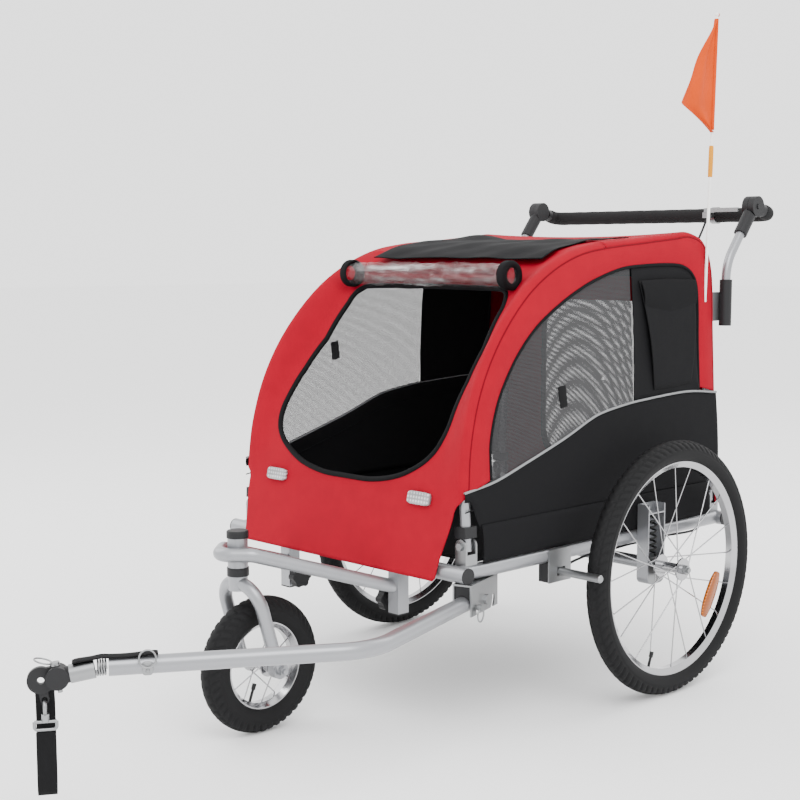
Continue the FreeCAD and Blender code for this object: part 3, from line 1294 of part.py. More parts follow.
lever_blade = lever_blade.makeFillet(lever_thickness / 2 - seat_gap, [
    edge for edge in lever_blade.Edges if edge.BoundBox.XMin > lever_pivot.x + lever_length - seat_gap
    and edge.BoundBox.ZLength > lever_height / 2])
lever = joined(lever_boss, lever_blade).cut(bar(lever_pivot, lever_pivot + pin_rise,
                                                lever_pin_diameter + 2 * running_gap))
keep("brake_lever", lever)

# Safety flag on its pole

pole_way = Vector(0, math.sin(math.radians(flag_pole_lean)), math.cos(math.radians(flag_pole_lean)))
lean_cos = math.cos(math.radians(side_lean))
lean_sin = math.sin(math.radians(side_lean))
panel_face_x = hinge_x + (panel_in + fabric_thickness) * lean_cos - (flag_foot_z - hinge_z) * lean_sin
flag_x = panel_face_x + flag_pole_diameter / 2 + seat_gap
pole_foot = Vector(flag_x, flag_foot_y, flag_foot_z)
pole_length = (flag_top_z - flag_foot_z) / pole_way.z
pole_top = pole_foot + pole_way * pole_length
pole = joined(bar(pole_foot, pole_top, flag_pole_diameter), Part.makeSphere(flag_tip_diameter / 2, pole_top))
keep("flag_pole", pole)
flag_edge = Vector(0, -flag_pole_diameter / 2 - seat_gap, 0)
flag_top = pole_top - pole_way * flag_tip_diameter + flag_edge
flag_bottom = flag_top - pole_way * flag_height
flag_tail = flag_top + Vector(0, -flag_length, -flag_tail_drop)
flag_face = Part.Face(Part.makePolygon([flag_top, flag_bottom, flag_tail, flag_top]))
flag_face.translate(Vector(-flag_thickness / 2, 0, 0))
keep("flag", flag_face.extrude(Vector(flag_thickness, 0, 0)))

# Bring the origin to the bottom centre of the whole part and write the pieces

foremost = pieces["coupler"].optimalBoundingBox().YMin
rearmost = pieces["handle_grip"].optimalBoundingBox().YMax
shift = Vector(0, -(foremost + rearmost) / 2, 0)
print("shift", shift.y, "length", rearmost - foremost)
os.makedirs("parts", exist_ok=True)
for name, shape in pieces.items():
    shape.translate(shift)
    if not shape.isValid():
        print("invalid", name)
    shape.exportStep("parts/" + name + ".step")
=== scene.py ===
import json
import math
from functools import partialmethod

import bpy
import numpy as np
from bpy.props import FloatProperty, FloatVectorProperty, IntProperty, PointerProperty
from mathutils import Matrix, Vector


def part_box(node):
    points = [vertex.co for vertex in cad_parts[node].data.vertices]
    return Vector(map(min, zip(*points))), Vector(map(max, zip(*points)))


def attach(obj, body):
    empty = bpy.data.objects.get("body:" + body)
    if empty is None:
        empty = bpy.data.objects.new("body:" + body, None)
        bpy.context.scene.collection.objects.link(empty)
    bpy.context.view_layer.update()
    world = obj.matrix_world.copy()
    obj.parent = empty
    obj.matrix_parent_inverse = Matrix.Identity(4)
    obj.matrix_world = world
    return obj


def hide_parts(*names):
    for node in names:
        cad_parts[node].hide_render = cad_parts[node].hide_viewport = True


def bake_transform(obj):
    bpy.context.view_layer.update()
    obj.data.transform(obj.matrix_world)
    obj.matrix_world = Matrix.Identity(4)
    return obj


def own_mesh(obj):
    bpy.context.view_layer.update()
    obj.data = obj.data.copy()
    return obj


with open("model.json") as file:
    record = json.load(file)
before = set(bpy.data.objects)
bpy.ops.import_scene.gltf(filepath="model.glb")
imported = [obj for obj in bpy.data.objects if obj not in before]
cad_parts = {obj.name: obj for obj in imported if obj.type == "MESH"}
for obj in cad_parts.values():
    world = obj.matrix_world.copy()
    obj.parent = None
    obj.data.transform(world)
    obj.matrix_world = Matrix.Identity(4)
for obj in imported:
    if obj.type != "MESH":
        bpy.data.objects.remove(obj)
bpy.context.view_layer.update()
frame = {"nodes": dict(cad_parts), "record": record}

bl_info = {
    "name": "Dog bike trailer",
    "version": (1, 0, 0),
    "blender": (4, 5, 0),
    "location": "3D View > Sidebar > Trailer",
    "description": "Dresses the packed dog bike trailer with fabric, treads, trim and finishes",
    "category": "Object",
}

# Places below are in metres from the ground under the rear axle: +X left, +Y rear, +Z up.
LEFT_AXLE_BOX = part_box("left_rim")
AXLE = np.array((0.0, (LEFT_AXLE_BOX[0][1] + LEFT_AXLE_BOX[1][1]) / 2, 0.0))

# Cabin profile in the plane of a side, from the apron's hem over the nose and roof to the rear hem: (y, z)
SEAM = (
    (-0.541, 0.291), (-0.522, 0.366), (-0.506, 0.428), (-0.5035, 0.460), (-0.4958, 0.523), (-0.474, 0.600),
    (-0.438, 0.6715), (-0.388, 0.7365), (-0.326, 0.794), (-0.258, 0.8355), (-0.1835, 0.864), (-0.1055, 0.878),
    (0.020, 0.889), (0.120, 0.8975), (0.185, 0.902), (0.236, 0.8815), (0.262, 0.822), (0.2625, 0.700),
    (0.2625, 0.500), (0.262, 0.331),
)
BROW_Y = -0.095

# How far the nose is drawn in behind its seam at the door's edge: (z, depth)
DISH = (
    (0.440, 0.0), (0.532, 0.015), (0.583, 0.028), (0.651, 0.044), (0.721, 0.052), (0.789, 0.040),
    (0.860, 0.006),
)

# Place of a front reflector on the apron: (x, z)
REFLECTOR = (0.201, 0.426)

# Half of the door opening's outline, from its lowest point to its top: (x, z)
DOOR = (
    (0.0, 0.4440), (0.070, 0.4455), (0.136, 0.4590), (0.186, 0.4830), (0.215, 0.5080), (0.2285, 0.5360),
    (0.2325, 0.5620), (0.2310, 0.5900), (0.2270, 0.6510), (0.2200, 0.7210), (0.2160, 0.7700), (0.2120, 0.8000),
    (0.1950, 0.8140), (0.1500, 0.8170), (0.0, 0.8180),
)

# Side of the cabin: inner edge of the red band and the reflective piping under the window: (y, z)
BAND_EDGE = (
    (-0.437, 0.463), (-0.437, 0.500), (-0.435, 0.530), (-0.423, 0.573), (-0.404, 0.614), (-0.372, 0.660),
    (-0.341, 0.694), (-0.306, 0.724), (-0.270, 0.747), (-0.225, 0.771), (-0.178, 0.792), (-0.125, 0.811),
    (-0.047, 0.830), (0.032, 0.836), (0.114, 0.837), (0.157, 0.832), (0.186, 0.816), (0.199, 0.790),
    (0.201, 0.739), (0.199, 0.683), (0.199, 0.620), (0.199, 0.586),
)
PIPING = (
    (-0.505, 0.447), (-0.427, 0.459), (-0.348, 0.482), (-0.237, 0.517), (-0.160, 0.546), (-0.121, 0.557),
    (-0.060, 0.566), (0.004, 0.572), (0.155, 0.579), (0.262, 0.571),
)

# Camera solved from the photograph's own lines
CAMERA_AZIMUTH = math.radians(45.263)
CAMERA_ELEVATION = math.radians(6.978)
CAMERA_PLACE = (1.99363, -2.25983, 0.86136)
CAMERA_FOCAL_PIXELS = 1425.52
CAMERA_CENTRE_PIXELS = (429.97, 426.91)
PICTURE_PIXELS = 800.0
SENSOR_WIDTH = 36.0

OUT = np.array((1.0, 0.0, 0.0))
UP = np.array((0.0, 0.0, 1.0))
TURN = 2 * math.pi
TINY = 1e-9
SIDE_NAMES = {1: "left", -1: "right"}
SIDE_FRAMES = ("left_side_frame", "right_side_frame")

# Cabin cloth rides on the chassis
CABIN = "cabin"


def row(points):
    """Points measured from the rear axle, moved into the row frame."""
    return np.asarray(points, float) + AXLE


def box_of(node):
    """Low and high corner of a CAD node's box, measured from the rear axle."""
    return [np.array(corner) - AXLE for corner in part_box(node)]


def unit(vectors):
    """Vectors along the last axis, brought to a length of 1."""
    return vectors / np.maximum(np.linalg.norm(vectors, axis=-1, keepdims=True), TINY)


def smoothstep(low, high, value):
    """A smooth rise from 0 at low to 1 at high: 3 t squared less 2 t cubed."""
    t = np.clip((value - low) / (high - low), 0, 1)
    return t * t * (3 - 2 * t)


def smooth_line(points, count):
    """A Catmull-Rom curve through points, sampled at count places evenly along its length."""
    points = np.asarray(points, float)
    padded = np.vstack((2 * points[0] - points[1], points, 2 * points[-1] - points[-2]))
    fine = np.linspace(0, len(points) - 1, len(points) * 40)
    piece = np.minimum(fine.astype(int), len(points) - 2)
    t = (fine - piece)[:, None]
    before, start, end, after = (padded[piece + k] for k in range(4))
    curve = 0.5 * (
        2 * start + (end - before) * t + (2 * before - 5 * start + 4 * end - after) * t ** 2
        + (3 * start - before - 3 * end + after) * t ** 3
    )
    return even_line(curve, count)


def run_length(line):
    """Running length along a polyline, from 0."""
    return np.concatenate(((0.0,), np.cumsum(np.linalg.norm(np.diff(line, axis=0), axis=1))))


def even_line(points, count):
    """A polyline resampled at count places evenly along its length."""
    along = run_length(points)
    wanted = np.linspace(0, along[-1], count)
    return np.stack([np.interp(wanted, along, values) for values in points.T], 1)


def squared_circle(turn, power):
    """Cosine and sine of a turn, squared off: each keeps its sign and is raised to 2 / power."""
    return (np.sign(f) * np.abs(f) ** (2 / power) for f in (np.cos(turn), np.sin(turn)))


def grid_faces(rows, columns, closed_rows=False, closed_columns=False, flip=False):
    """Quads of a rows by columns grid, wrapped round where a direction is closed."""
    r = np.arange(rows if closed_rows else rows - 1)
    c = np.arange(columns if closed_columns else columns - 1)
    r, c = np.meshgrid(r, c, indexing="ij")
    r2 = (r + 1) % rows
    c2 = (c + 1) % columns
    corners = ((r, c), (r, c2), (r2, c2), (r2, c))
    quads = np.stack([down * columns + across for down, across in corners], -1).reshape(-1, 4)
    return quads[:, ::-1] if flip else quads


def mesh_object(name, points, faces, uv=None):
    """A smooth mesh object from arrays of points (in the row frame) and quads."""
    mesh = bpy.data.meshes.new(name)
    mesh.vertices.add(len(points))
    mesh.vertices.foreach_set("co", np.asarray(points, np.float32).ravel())
    mesh.loops.add(faces.size)
    mesh.loops.foreach_set("vertex_index", faces.astype(np.int32).ravel())
    mesh.polygons.add(len(faces))
    mesh.polygons.foreach_set("loop_start", np.arange(0, faces.size, 4, dtype=np.int32))
    mesh.polygons.foreach_set("loop_total", np.full(len(faces), 4, np.int32))
    mesh.update(calc_edges=True)
    mesh.validate()
    mesh.polygons.foreach_set("use_smooth", np.full(len(mesh.polygons), True))
    if uv is not None:
        layer = mesh.uv_layers.new(name="UVMap")
        layer.data.foreach_set("uv", np.asarray(uv, np.float32)[faces.ravel()].ravel())
    piece = bpy.data.objects.new(name, mesh)
    bpy.context.scene.collection.objects.link(piece)
    return piece


def grid_piece(name, net, closed_rows=False, closed_columns=False, flip=False):
    """A smooth surface object from a rows by columns net of points, measured from the rear axle. Its UVs are in
    metres: the running length along the middle row and column."""
    rows, columns = net.shape[:2]
    faces = grid_faces(rows, columns, closed_rows, closed_columns, flip)
    uv = np.stack(np.meshgrid(run_length(net[rows // 2]), run_length(net[:, columns // 2])), -1)
    return mesh_object(name, row(net.reshape(-1, 3)), faces, uv.reshape(-1, 2))


END_SHARE = 0.8


def tube_piece(name, line, radius, sides=12, closed=False, up=UP):
    """A cord, piping or wire: circles of a radius, or of one radius per point, carried along a line and kept
    near an up vector. Unless the line is a loop, each end closes to a point through a smaller ring."""
    tangent = unit(np.gradient(line, axis=0))
    side = unit(np.cross(up, tangent))
    lift = np.cross(tangent, side)
    radius = np.broadcast_to(np.asarray(radius, float), len(line))
    if not closed:
        ends = np.r_[0, 0, np.arange(len(line)), -1, -1]
        shares = np.r_[0, END_SHARE, np.ones(len(line)), END_SHARE, 0]
        line, side, lift, radius = line[ends], side[ends], lift[ends], radius[ends] * shares
    turn = np.linspace(0, TURN, sides, endpoint=False)[:, None]
    ring = np.cos(turn) * side[:, None] + np.sin(turn) * lift[:, None]
    net = line[:, None] + radius[:, None, None] * ring
    return grid_piece(name, net, closed_rows=closed, closed_columns=True)


def bevel_edges(piece, width):
    bevel = piece.modifiers.new("Bevel", "BEVEL")
    bevel.width = width
    bevel.segments = 2
    bevel.limit_method = "ANGLE"
    bevel.angle_limit = math.radians(40)


RIBBON_CORNERS = ((0.5, 0.5), (-0.5, 0.5), (-0.5, -0.5), (0.5, -0.5))
RIBBON_BEVEL = 0.3


def ribbon_piece(name, line, normal, width, thickness):
    """Webbing or tape: a rectangle carried along a line, each end closed to its middle."""
    tangent = unit(np.gradient(line, axis=0))
    across = unit(np.cross(tangent, normal))
    face = np.cross(across, tangent)
    net = np.stack([line + across * (width * a) + face * (thickness * b) for a, b in RIBBON_CORNERS], 1)
    middle = net.mean(axis=1, keepdims=True).repeat(4, 1)
    net = np.concatenate((middle[:1], net, middle[-1:]))
    piece = grid_piece(name, net, closed_columns=True, flip=True)
    bevel_edges(piece, thickness * RIBBON_BEVEL)
    return piece


def lens_piece(name, middle, along, across, out, half, layers, power=5, taper=0.0):
    """A moulded or pressed piece: a squared ellipse, narrowed towards its ends by a taper, stepped outward in
    layers of (share of its size, depth)."""
    u, v = squared_circle(np.linspace(0, TURN, 64, endpoint=False)[:, None], power)
    loop = along * (u * half[0]) + across * (v * half[1] * (1 - taper * u ** 2))
    net = np.stack([middle + loop * share + out * depth for share, depth in layers])
    return grid_piece(name, net, closed_columns=True)


def about_x(x, radius, turn, centre):
    """Points at a distance x along the X axis, turned about a centre at a radius."""
    y, z = centre[1] + radius * np.cos(turn), centre[2] + radius * np.sin(turn)
    return np.stack(np.broadcast_arrays(x, y, z), -1)


def dress(piece, body, finish, lining=None, replaced=()):
    """Give a piece its finish and lining, ride on a body and stand for CAD nodes."""
    piece.data.materials.clear()
    for name in filter(None, (finish, lining)):
        piece.data.materials.append(FINISHES[name])
    if body == CABIN:
        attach(piece, "chassis")
        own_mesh(piece)
    elif body:
        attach(piece, body)
    if replaced:
        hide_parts(*replaced)
    return piece


def way_length(lines):
    """Length of a polyline, or of each column of a net."""
    return np.linalg.norm(np.diff(lines, axis=0), axis=-1).sum(0)


def cloth_area(net):
    """Area of a net of points: half the cross product of each quad's diagonals, summed."""
    first = net[1:, 1:] - net[:-1, :-1]
    second = net[1:, :-1] - net[:-1, 1:]
    return float(np.linalg.norm(np.cross(first, second), axis=-1).sum() / 2)


def cloth(name, net, body, finish, rests_on, lining=None, replaced=(), thickness=None, offset=1.0, closed=False,
          flip=False, flat=None, area=None, held="stretched"):
    """A sheet of cloth on a net, of the cabin's thickness unless given; its flat size is the longest ways across
    and along its net, unless given."""
    piece = grid_piece(name, net, closed_columns=closed, flip=flip)
    if thickness is None:
        thickness = sizes().cloth
    if thickness:
        solid = piece.modifiers.new("Solidify", "SOLIDIFY")
        solid.thickness = thickness
        solid.offset = offset
        solid.use_even_offset = True
        solid.material_offset = 1 if lining else 0
    dress(piece, body, finish, lining, replaced)
    if closed:
        net = np.concatenate((net, net[:, :1]), 1)
    if flat is None:
        flat = (way_length(net.swapaxes(0, 1)).max(), way_length(net).max())
    wide, long = map(float, flat)
    area = min(area or cloth_area(net), wide * long)
    return piece


# Finishes

FINISHES = {}


class Socket:
    """A value in a material's node tree. Its operators add Math nodes; node() adds any other node."""

    def __init__(self, tree, socket):
        self.tree = tree
        self.socket = socket

    def node(self, kind, settings=None, inputs=None, output=0):
        """A new node: its settings are set first, then its sockets take values or links."""
        made = self.tree.nodes.new(kind)
        for name, value in (settings or {}).items():
            setattr(made, name, value)
        for name, value in (inputs or {}).items():
            if isinstance(value, Socket):
                self.tree.links.new(value.socket, made.inputs[name])
            else:
                made.inputs[name].default_value = value
        return Socket(self.tree, made.outputs[output])

    def maths(self, operation, *others, swap=False):
        values = [self, *others]
        if swap:
            values.reverse()
        return self.node("ShaderNodeMath", {"operation": operation}, dict(enumerate(values)))

    __add__ = partialmethod(maths, "ADD")
    __radd__ = partialmethod(maths, "ADD", swap=True)
    __sub__ = partialmethod(maths, "SUBTRACT")
    __rsub__ = partialmethod(maths, "SUBTRACT", swap=True)
    __mul__ = partialmethod(maths, "MULTIPLY")
    __rmul__ = partialmethod(maths, "MULTIPLY", swap=True)

    def axis(self, index):
        return self.node("ShaderNodeSeparateXYZ", None, {0: self}, index)

    def noise(self, scale, detail=3.0, rough=0.5):
        return self.node("ShaderNodeTexNoise", None,
                         {"Vector": self, "Scale": scale, "Detail": detail, "Roughness": rough})

    def stretched(self, scale):
        """These coordinates, each multiplied by its own scale."""
        return self.node("ShaderNodeMapping", None, {"Vector": self, "Scale": scale})

    def wave(self, period):
        """A sine of this value that repeats every period, from 0 to 1."""
        return (self * (2 * math.pi / period)).maths("SINE") * 0.5 + 0.5

    def mix(self, first, second):
        """A colour between two, by this value."""
        inputs = {"Factor": self, 6: first, 7: second}
        return self.node("ShaderNodeMix", {"data_type": "RGBA"}, inputs, 2)

    def spread(self, low, high):
        """This value from 0 to 1, spread from low to high."""
        return self * (high - low) + low

    def bump(self, distance, strength, under=None):
        """A normal raised by this value, over another normal where there is one."""
        inputs = {"Height": self, "Distance": distance, "Strength": strength}
        if under is not None:
            inputs["Normal"] = under
        return self.node("ShaderNodeBump", None, inputs)


class Finish:
    """A new Principled material, kept in FINISHES, with its Object and UV coordinates at hand."""

    def __init__(self, name):
        material = bpy.data.materials.new(name)
        material.use_nodes = True
        FINISHES[name] = material
        self.tree = material.node_tree
        self.shader = self.tree.nodes["Principled BSDF"]
        place = self.tree.nodes.new("ShaderNodeTexCoord")
        self.object = Socket(self.tree, place.outputs["Object"])
        self.uv = Socket(self.tree, place.outputs["UV"])

    def set(self, **inputs):
        for name, value in inputs.items():
            socket = self.shader.inputs[name.replace("_", " ")]
            if isinstance(value, Socket):
                self.tree.links.new(value.socket, socket)
            else:
                socket.default_value = value


def shade(colour, factor):
    return (*(part * factor for part in colour[:3]), 1.0)


def tones(value, colour, dark, light):
    """A colour between a darker and a lighter shade of one colour, by a value."""
    return value.mix(shade(colour, dark), shade(colour, light))


THREAD = 0.0011
MESH_HOLE = 0.0024
MESH_OPEN_ABOVE = 0.52


def woven(name, colour, crease=0.004, roughness=0.8):
    """Woven polyester: two crossed sets of threads, soft creases and a slightly uneven dye."""
    finish = Finish(name)
    x, y, z = (finish.object.axis(k) for k in range(3))
    threads = (x + y).wave(THREAD) * (z + y * 0.5).wave(THREAD)
    creases = finish.object.noise(9.0, 4.0, 0.55)
    blotches = finish.object.noise(26.0, 5.0, 0.6)
    finish.set(Base_Color=tones(blotches, colour, 0.82, 1.12),
               Roughness=blotches.spread(roughness - 0.08, roughness + 0.06),
               Normal=threads.bump(0.0002, 0.25, creases.bump(crease, 0.55)), Specular_IOR_Level=0.1)


def netting(name, colour, across=1):
    """Open mesh: round holes on a square net let the background through."""
    finish = Finish(name)
    holes = finish.object.axis(across).wave(MESH_HOLE) * finish.object.axis(2).wave(MESH_HOLE)
    solid = holes.maths("LESS_THAN", MESH_OPEN_ABOVE)
    finish.set(Base_Color=tones(finish.object.noise(40.0), colour, 0.8, 1.25), Roughness=0.75,
               Alpha=solid.spread(0.0, 0.95), Normal=holes.bump(0.0003, 0.4))


def painted(name, colour):
    """Sprayed metallic paint: fine flake, faint orange peel and rubbed patches."""
    finish = Finish(name)
    flake = finish.object.noise(900.0, 2.0)
    peel = finish.object.noise(120.0, 2.0)
    rub = finish.object.noise(14.0, 6.0, 0.65)
    finish.set(Base_Color=tones(flake * 0.5 + rub * 0.5, colour, 0.86, 1.1), Metallic=0.75,
               Roughness=rub.spread(0.26, 0.46), Normal=peel.bump(0.0002, 0.12), Coat_Weight=0.2)


def bright_metal(name, colour, roughness):
    """Plated or polished metal: uneven gloss with small scratches."""
    finish = Finish(name)
    cloud = finish.object.noise(22.0, 5.0, 0.6)
    scratches = finish.object.noise(160.0, 4.0, 0.7)
    gloss = (cloud * 0.6 + scratches * 0.4).spread(roughness * 0.6, roughness * 1.4)
    finish.set(Base_Color=tones(cloud, colour, 0.85, 1.05), Metallic=1.0, Roughness=gloss,
               Normal=scratches.bump(0.00015, 0.2))


def moulded(name, colour, roughness=0.5, grain=700.0, depth=0.0002):
    """Moulded plastic or rubber: a fine spark-eroded grain and faint scuffs."""
    finish = Finish(name)
    grains = finish.object.noise(grain, 2.0)
    scuffs = finish.object.noise(30.0, 6.0, 0.7)
    finish.set(Base_Color=tones(scuffs, colour, 0.8, 1.35),
               Roughness=scuffs.spread(roughness - 0.1, roughness + 0.15), Normal=grains.bump(depth, 0.5),
               Specular_IOR_Level=0.25)


def clear_vinyl(name):
    """Clear vinyl sheet: see-through and glossy, with sharp crinkles. Its colour runs from dark grey to near
    white along stretched streaks, which are painted highlights, and it is less see-through on them.
    """
    finish = Finish(name)
    streak = finish.object.stretched((5.0, 34.0, 34.0)).noise(1.0, 5.0, 0.62)
    # painted highlights: on the high parts of the stretched streaks the colour goes to near white and the alpha
    # rises
    painted_glint = (streak * 7.0 - 3.75).maths("MAXIMUM", 0.0).maths("MINIMUM", 1.0)
    finish.set(Base_Color=painted_glint.mix((0.06, 0.058, 0.058, 1), (0.72, 0.71, 0.71, 1)), Roughness=0.07,
               Alpha=painted_glint.spread(0.13, 0.5), Normal=streak.bump(0.006, 0.9), Coat_Weight=0.4)


def prismatic(name, colour, cell, coat=0.8):
    """A moulded reflector: small pyramids under a glossy face. Its colour is darker in the grooves between them,
    as painted shade.
    """
    finish = Finish(name)
    cells_and_shade = finish.object.axis(0).wave(cell) * finish.object.axis(2).wave(cell)
    # painted shade: the pattern that raises the pyramids also darkens the colour in the grooves between them
    finish.set(Base_Color=tones(cells_and_shade, colour, 0.35, 1.05), Roughness=0.15, Normal=cells_and_shade.bump(0.0008, 0.7),
               Coat_Weight=coat)


def ribbed_webbing(name, colour):
    """Flat webbing: close ridges along its length with a herringbone cross. Its colour is darker in the grooves
    between them, as painted shade, and varies at random with a fine fuzz.
    """
    finish = Finish(name)
    u, v = finish.uv.axis(0), finish.uv.axis(1)
    ribs_and_shade = (u + v * 0.35).wave(0.0024) * 0.6 + v.wave(0.0016) * 0.4
    fuzz = finish.object.noise(150.0, 3.0)
    # painted shade: the rib pattern darkens the colour in its grooves; the fuzz is a random tone of the webbing
    finish.set(Base_Color=tones(ribs_and_shade * 0.5 + fuzz * 0.5, colour, 0.6, 1.6), Roughness=0.85,
               Normal=ribs_and_shade.bump(0.0005, 0.6), Specular_IOR_Level=0.1)


def tread_rubber(name, colour):
    """Tyre rubber: dull and faintly dusty, with a fine grain."""
    finish = Finish(name)
    dust = finish.object.noise(24.0, 6.0, 0.65)
    grain = finish.object.noise(420.0, 2.0)
    finish.set(Base_Color=tones(dust, colour, 0.8, 1.7), Roughness=dust.spread(0.6, 0.82),
               Normal=grain.bump(0.0003, 0.4), Specular_IOR_Level=0.15)


def make_finishes(colours):
    """Every finish on the trailer."""
    red, black = colours.red, colours.black
    woven("red_fabric", red)
    woven("black_fabric", black)
    woven("lining", shade(black, 0.8))
    # painted shade: the inside face of the red cloth is the red dye darkened to 0.6, a shaded copy of red_fabric
    woven("red_lining", shade(red, 0.6))
    woven("red_seam", shade(red, 0.45), crease=0.0005)
    netting("window_mesh", (0.02, 0.02, 0.022))
    netting("rear_mesh", (0.02, 0.02, 0.022), across=0)
    woven("binding", shade(black, 0.8), crease=0.001)
    woven("reflective", (0.22, 0.225, 0.23), crease=0.0005, roughness=0.5)
    painted("silver_paint", colours.silver)
    bright_metal("zinc_steel", (0.29, 0.295, 0.30), 0.36)
    bright_metal("chrome_rim", (0.42, 0.42, 0.43), 0.14)
    moulded("black_plastic", (0.010, 0.010, 0.011))
    moulded("foam_grip", (0.009, 0.009, 0.0095), 0.88, 1400.0, 0.0006)
    tread_rubber("tyre_rubber", (0.0062, 0.0062, 0.0066))
    moulded("black_spring", (0.008, 0.008, 0.008), 0.32)
    clear_vinyl("clear_vinyl")
    prismatic("reflector", (0.55, 0.55, 0.56), cell=0.007)
    prismatic("amber", (0.70, 0.16, 0.0), cell=0.006, coat=0.1)
    ribbed_webbing("webbing", (0.007, 0.007, 0.0075))
    moulded("white_fibre", (0.82, 0.82, 0.80), 0.35)
    moulded("yellow_ferrule", (0.56, 0.22, 0.0), 0.5)
    woven("orange_flag", colours.flag, crease=0.002, roughness=0.6)


# Property groups

class TrailerColours(bpy.types.PropertyGroup):
    """Dyes and paints of the trailer."""

    red: FloatVectorProperty(name="Red fabric", description="Dye of the cabin fabric", subtype="COLOR",
                             default=(0.29, 0.0, 0.012), min=0, max=1)
    black: FloatVectorProperty(name="Black fabric", description="Dye of the lower panels", subtype="COLOR",
                               default=(0.006, 0.006, 0.0068), min=0, max=1)
    silver: FloatVectorProperty(name="Silver paint", description="Paint of the tubes", subtype="COLOR",
                                default=(0.29, 0.295, 0.31), min=0, max=1)
    flag: FloatVectorProperty(name="Flag", description="Dye of the pennant", subtype="COLOR",
                              default=(0.55, 0.055, 0.0), min=0, max=1)


class TrailerSizes(bpy.types.PropertyGroup):
    """Sizes of the soft pieces that a user may change."""

    cloth: FloatProperty(name="Cloth", description="Thickness of the cabin fabric", default=0.0016,
                         unit="LENGTH")
    edge_radius: FloatProperty(name="Edge radius", description="Round of the fabric over the side tubes",
                               default=0.011, unit="LENGTH")
    roof_sag: FloatProperty(name="Roof sag", description="Dip of the roof between the side tubes",
                            default=0.007, unit="LENGTH")
    piping: FloatProperty(name="Piping", description="Radius of the reflective piping", default=0.0024,
                          unit="LENGTH")
    tread_depth: FloatProperty(name="Tread depth", description="Depth of the tyre grooves", default=0.0022,
                               unit="LENGTH")
    knobs: IntProperty(name="Tread blocks", description="Blocks round the front tyre", default=46, min=8)


def sizes():
    return bpy.context.scene.trailer_sizes


# Cabin surfaces

LEAN = math.tan(math.radians(3.0))
SIDE_FOOT_X = 0.3108
HINGE_Z = 0.352


def side_x(z):
    """Half width of the cabin at a height: the sides lean in a little towards the roof."""
    return SIDE_FOOT_X - (np.asarray(z) - HINGE_Z) * LEAN


def line_out(line):
    """Unit directions square to a line of (y, z), to the left of its way."""
    return unit(np.gradient(line, axis=0))[:, ::-1] * (-1, 1)


SEAM_LINE = smooth_line(SEAM, 600)
SEAM_OUT = line_out(SEAM_LINE)
SEAM_STEP = np.linspace(0, 1, len(SEAM_LINE))
RISING = SEAM_STEP < 0.7
FALLING = SEAM_STEP > 0.75


def seam_at(t):
    """Point and outward direction (y, z) on the cabin profile at a share t of its length."""
    point, out = (np.stack([np.interp(t, SEAM_STEP, values) for values in line.T], -1)
                  for line in (SEAM_LINE, SEAM_OUT))
    return point, unit(out)


def depth_to_t(y):
    """Share of the profile's length at a place y on the nose or roof."""
    return np.interp(y, SEAM_LINE[RISING, 0], SEAM_STEP[RISING])


BROW_T = float(depth_to_t(BROW_Y))
NOSE_LINE = SEAM_LINE[SEAM_STEP < BROW_T]

# Dip of the cloth as shares of the roof's sag; the roof's share is reached between two heights
ROOF_SAG_SHARE = 1.40
REAR_SAG_SHARE = -0.15
SAG_Z = (0.80, 0.89)
BROW_FADE = 0.12


def height_to_t(z):
    """Share of the profile's length at a height on the nose."""
    return np.interp(z, NOSE_LINE[:, 1], SEAM_STEP[:len(NOSE_LINE)])


def edge_x(t):
    """Half the cloth's width at a share t of the profile, measured over its rolled edge."""
    return side_x(seam_at(t)[0][..., 1]) + sizes().edge_radius * (math.pi / 2 - 1)


def cloth_sag(t):
    """Dip of the cloth at a share t of the profile: none up to the brow, most on the roof, and on the rear a
    little outward instead."""
    y, z = np.moveaxis(seam_at(t)[0], -1, 0)
    share = REAR_SAG_SHARE + (ROOF_SAG_SHARE - REAR_SAG_SHARE) * smoothstep(*SAG_Z, z)
    return sizes().roof_sag * share * np.where(t > BROW_T, smoothstep(BROW_Y, BROW_Y + BROW_FADE, y), 0.0)


def on_cabin(x, t, lift=0.0):
    """A point of the front, roof or rear: x across the cloth, t along the profile. The last stretch to each
    side rolls over the side tube on a quarter circle; between the tubes the cloth dips by its sag."""
    point, out = seam_at(t)
    radius = sizes().edge_radius
    flat = side_x(point[..., 1]) - radius
    reach = np.abs(x)
    roll = np.clip((reach - flat) / radius, 0, math.pi / 2)
    across = np.where(reach < flat, reach, flat + radius * np.sin(roll)) * np.sign(x)
    sag = cloth_sag(t) * (1 - np.minimum(reach / edge_x(t), 1) ** 2)
    shift = lift - radius * (1 - np.cos(roll)) - sag
    return np.stack((across, *(point[..., k] + out[..., k] * shift for k in range(2))), -1)


# How far inboard of the seam the dish starts and is at its depth
DISH_INBOARD = (0.004, 0.072)


def on_nose(x, t):
    """A point on the dished front: the nose is drawn in by the depth for its height, eased in from the seam."""
    z = seam_at(t)[0][..., 1]
    depth = np.interp(z, *np.array(DISH).T, left=0.0, right=0.0)
    return on_cabin(x, t, -depth * smoothstep(*DISH_INBOARD, side_x(z) - np.abs(x)))


# Half width of a panel before its sides are drawn to the cloth's edge, and how its rings crowd at the hole
PANEL_HALF = 0.312
RING_CROWD = 1.15

# The apron's sides step in beside the hinge posts and taper towards the hem, each between two heights
POST_ROOM = 0.026
POST_ROOM_Z = (0.447, 0.414)
HEM_TAPER = 0.024
HEM_TAPER_Z = (0.42, 0.29)


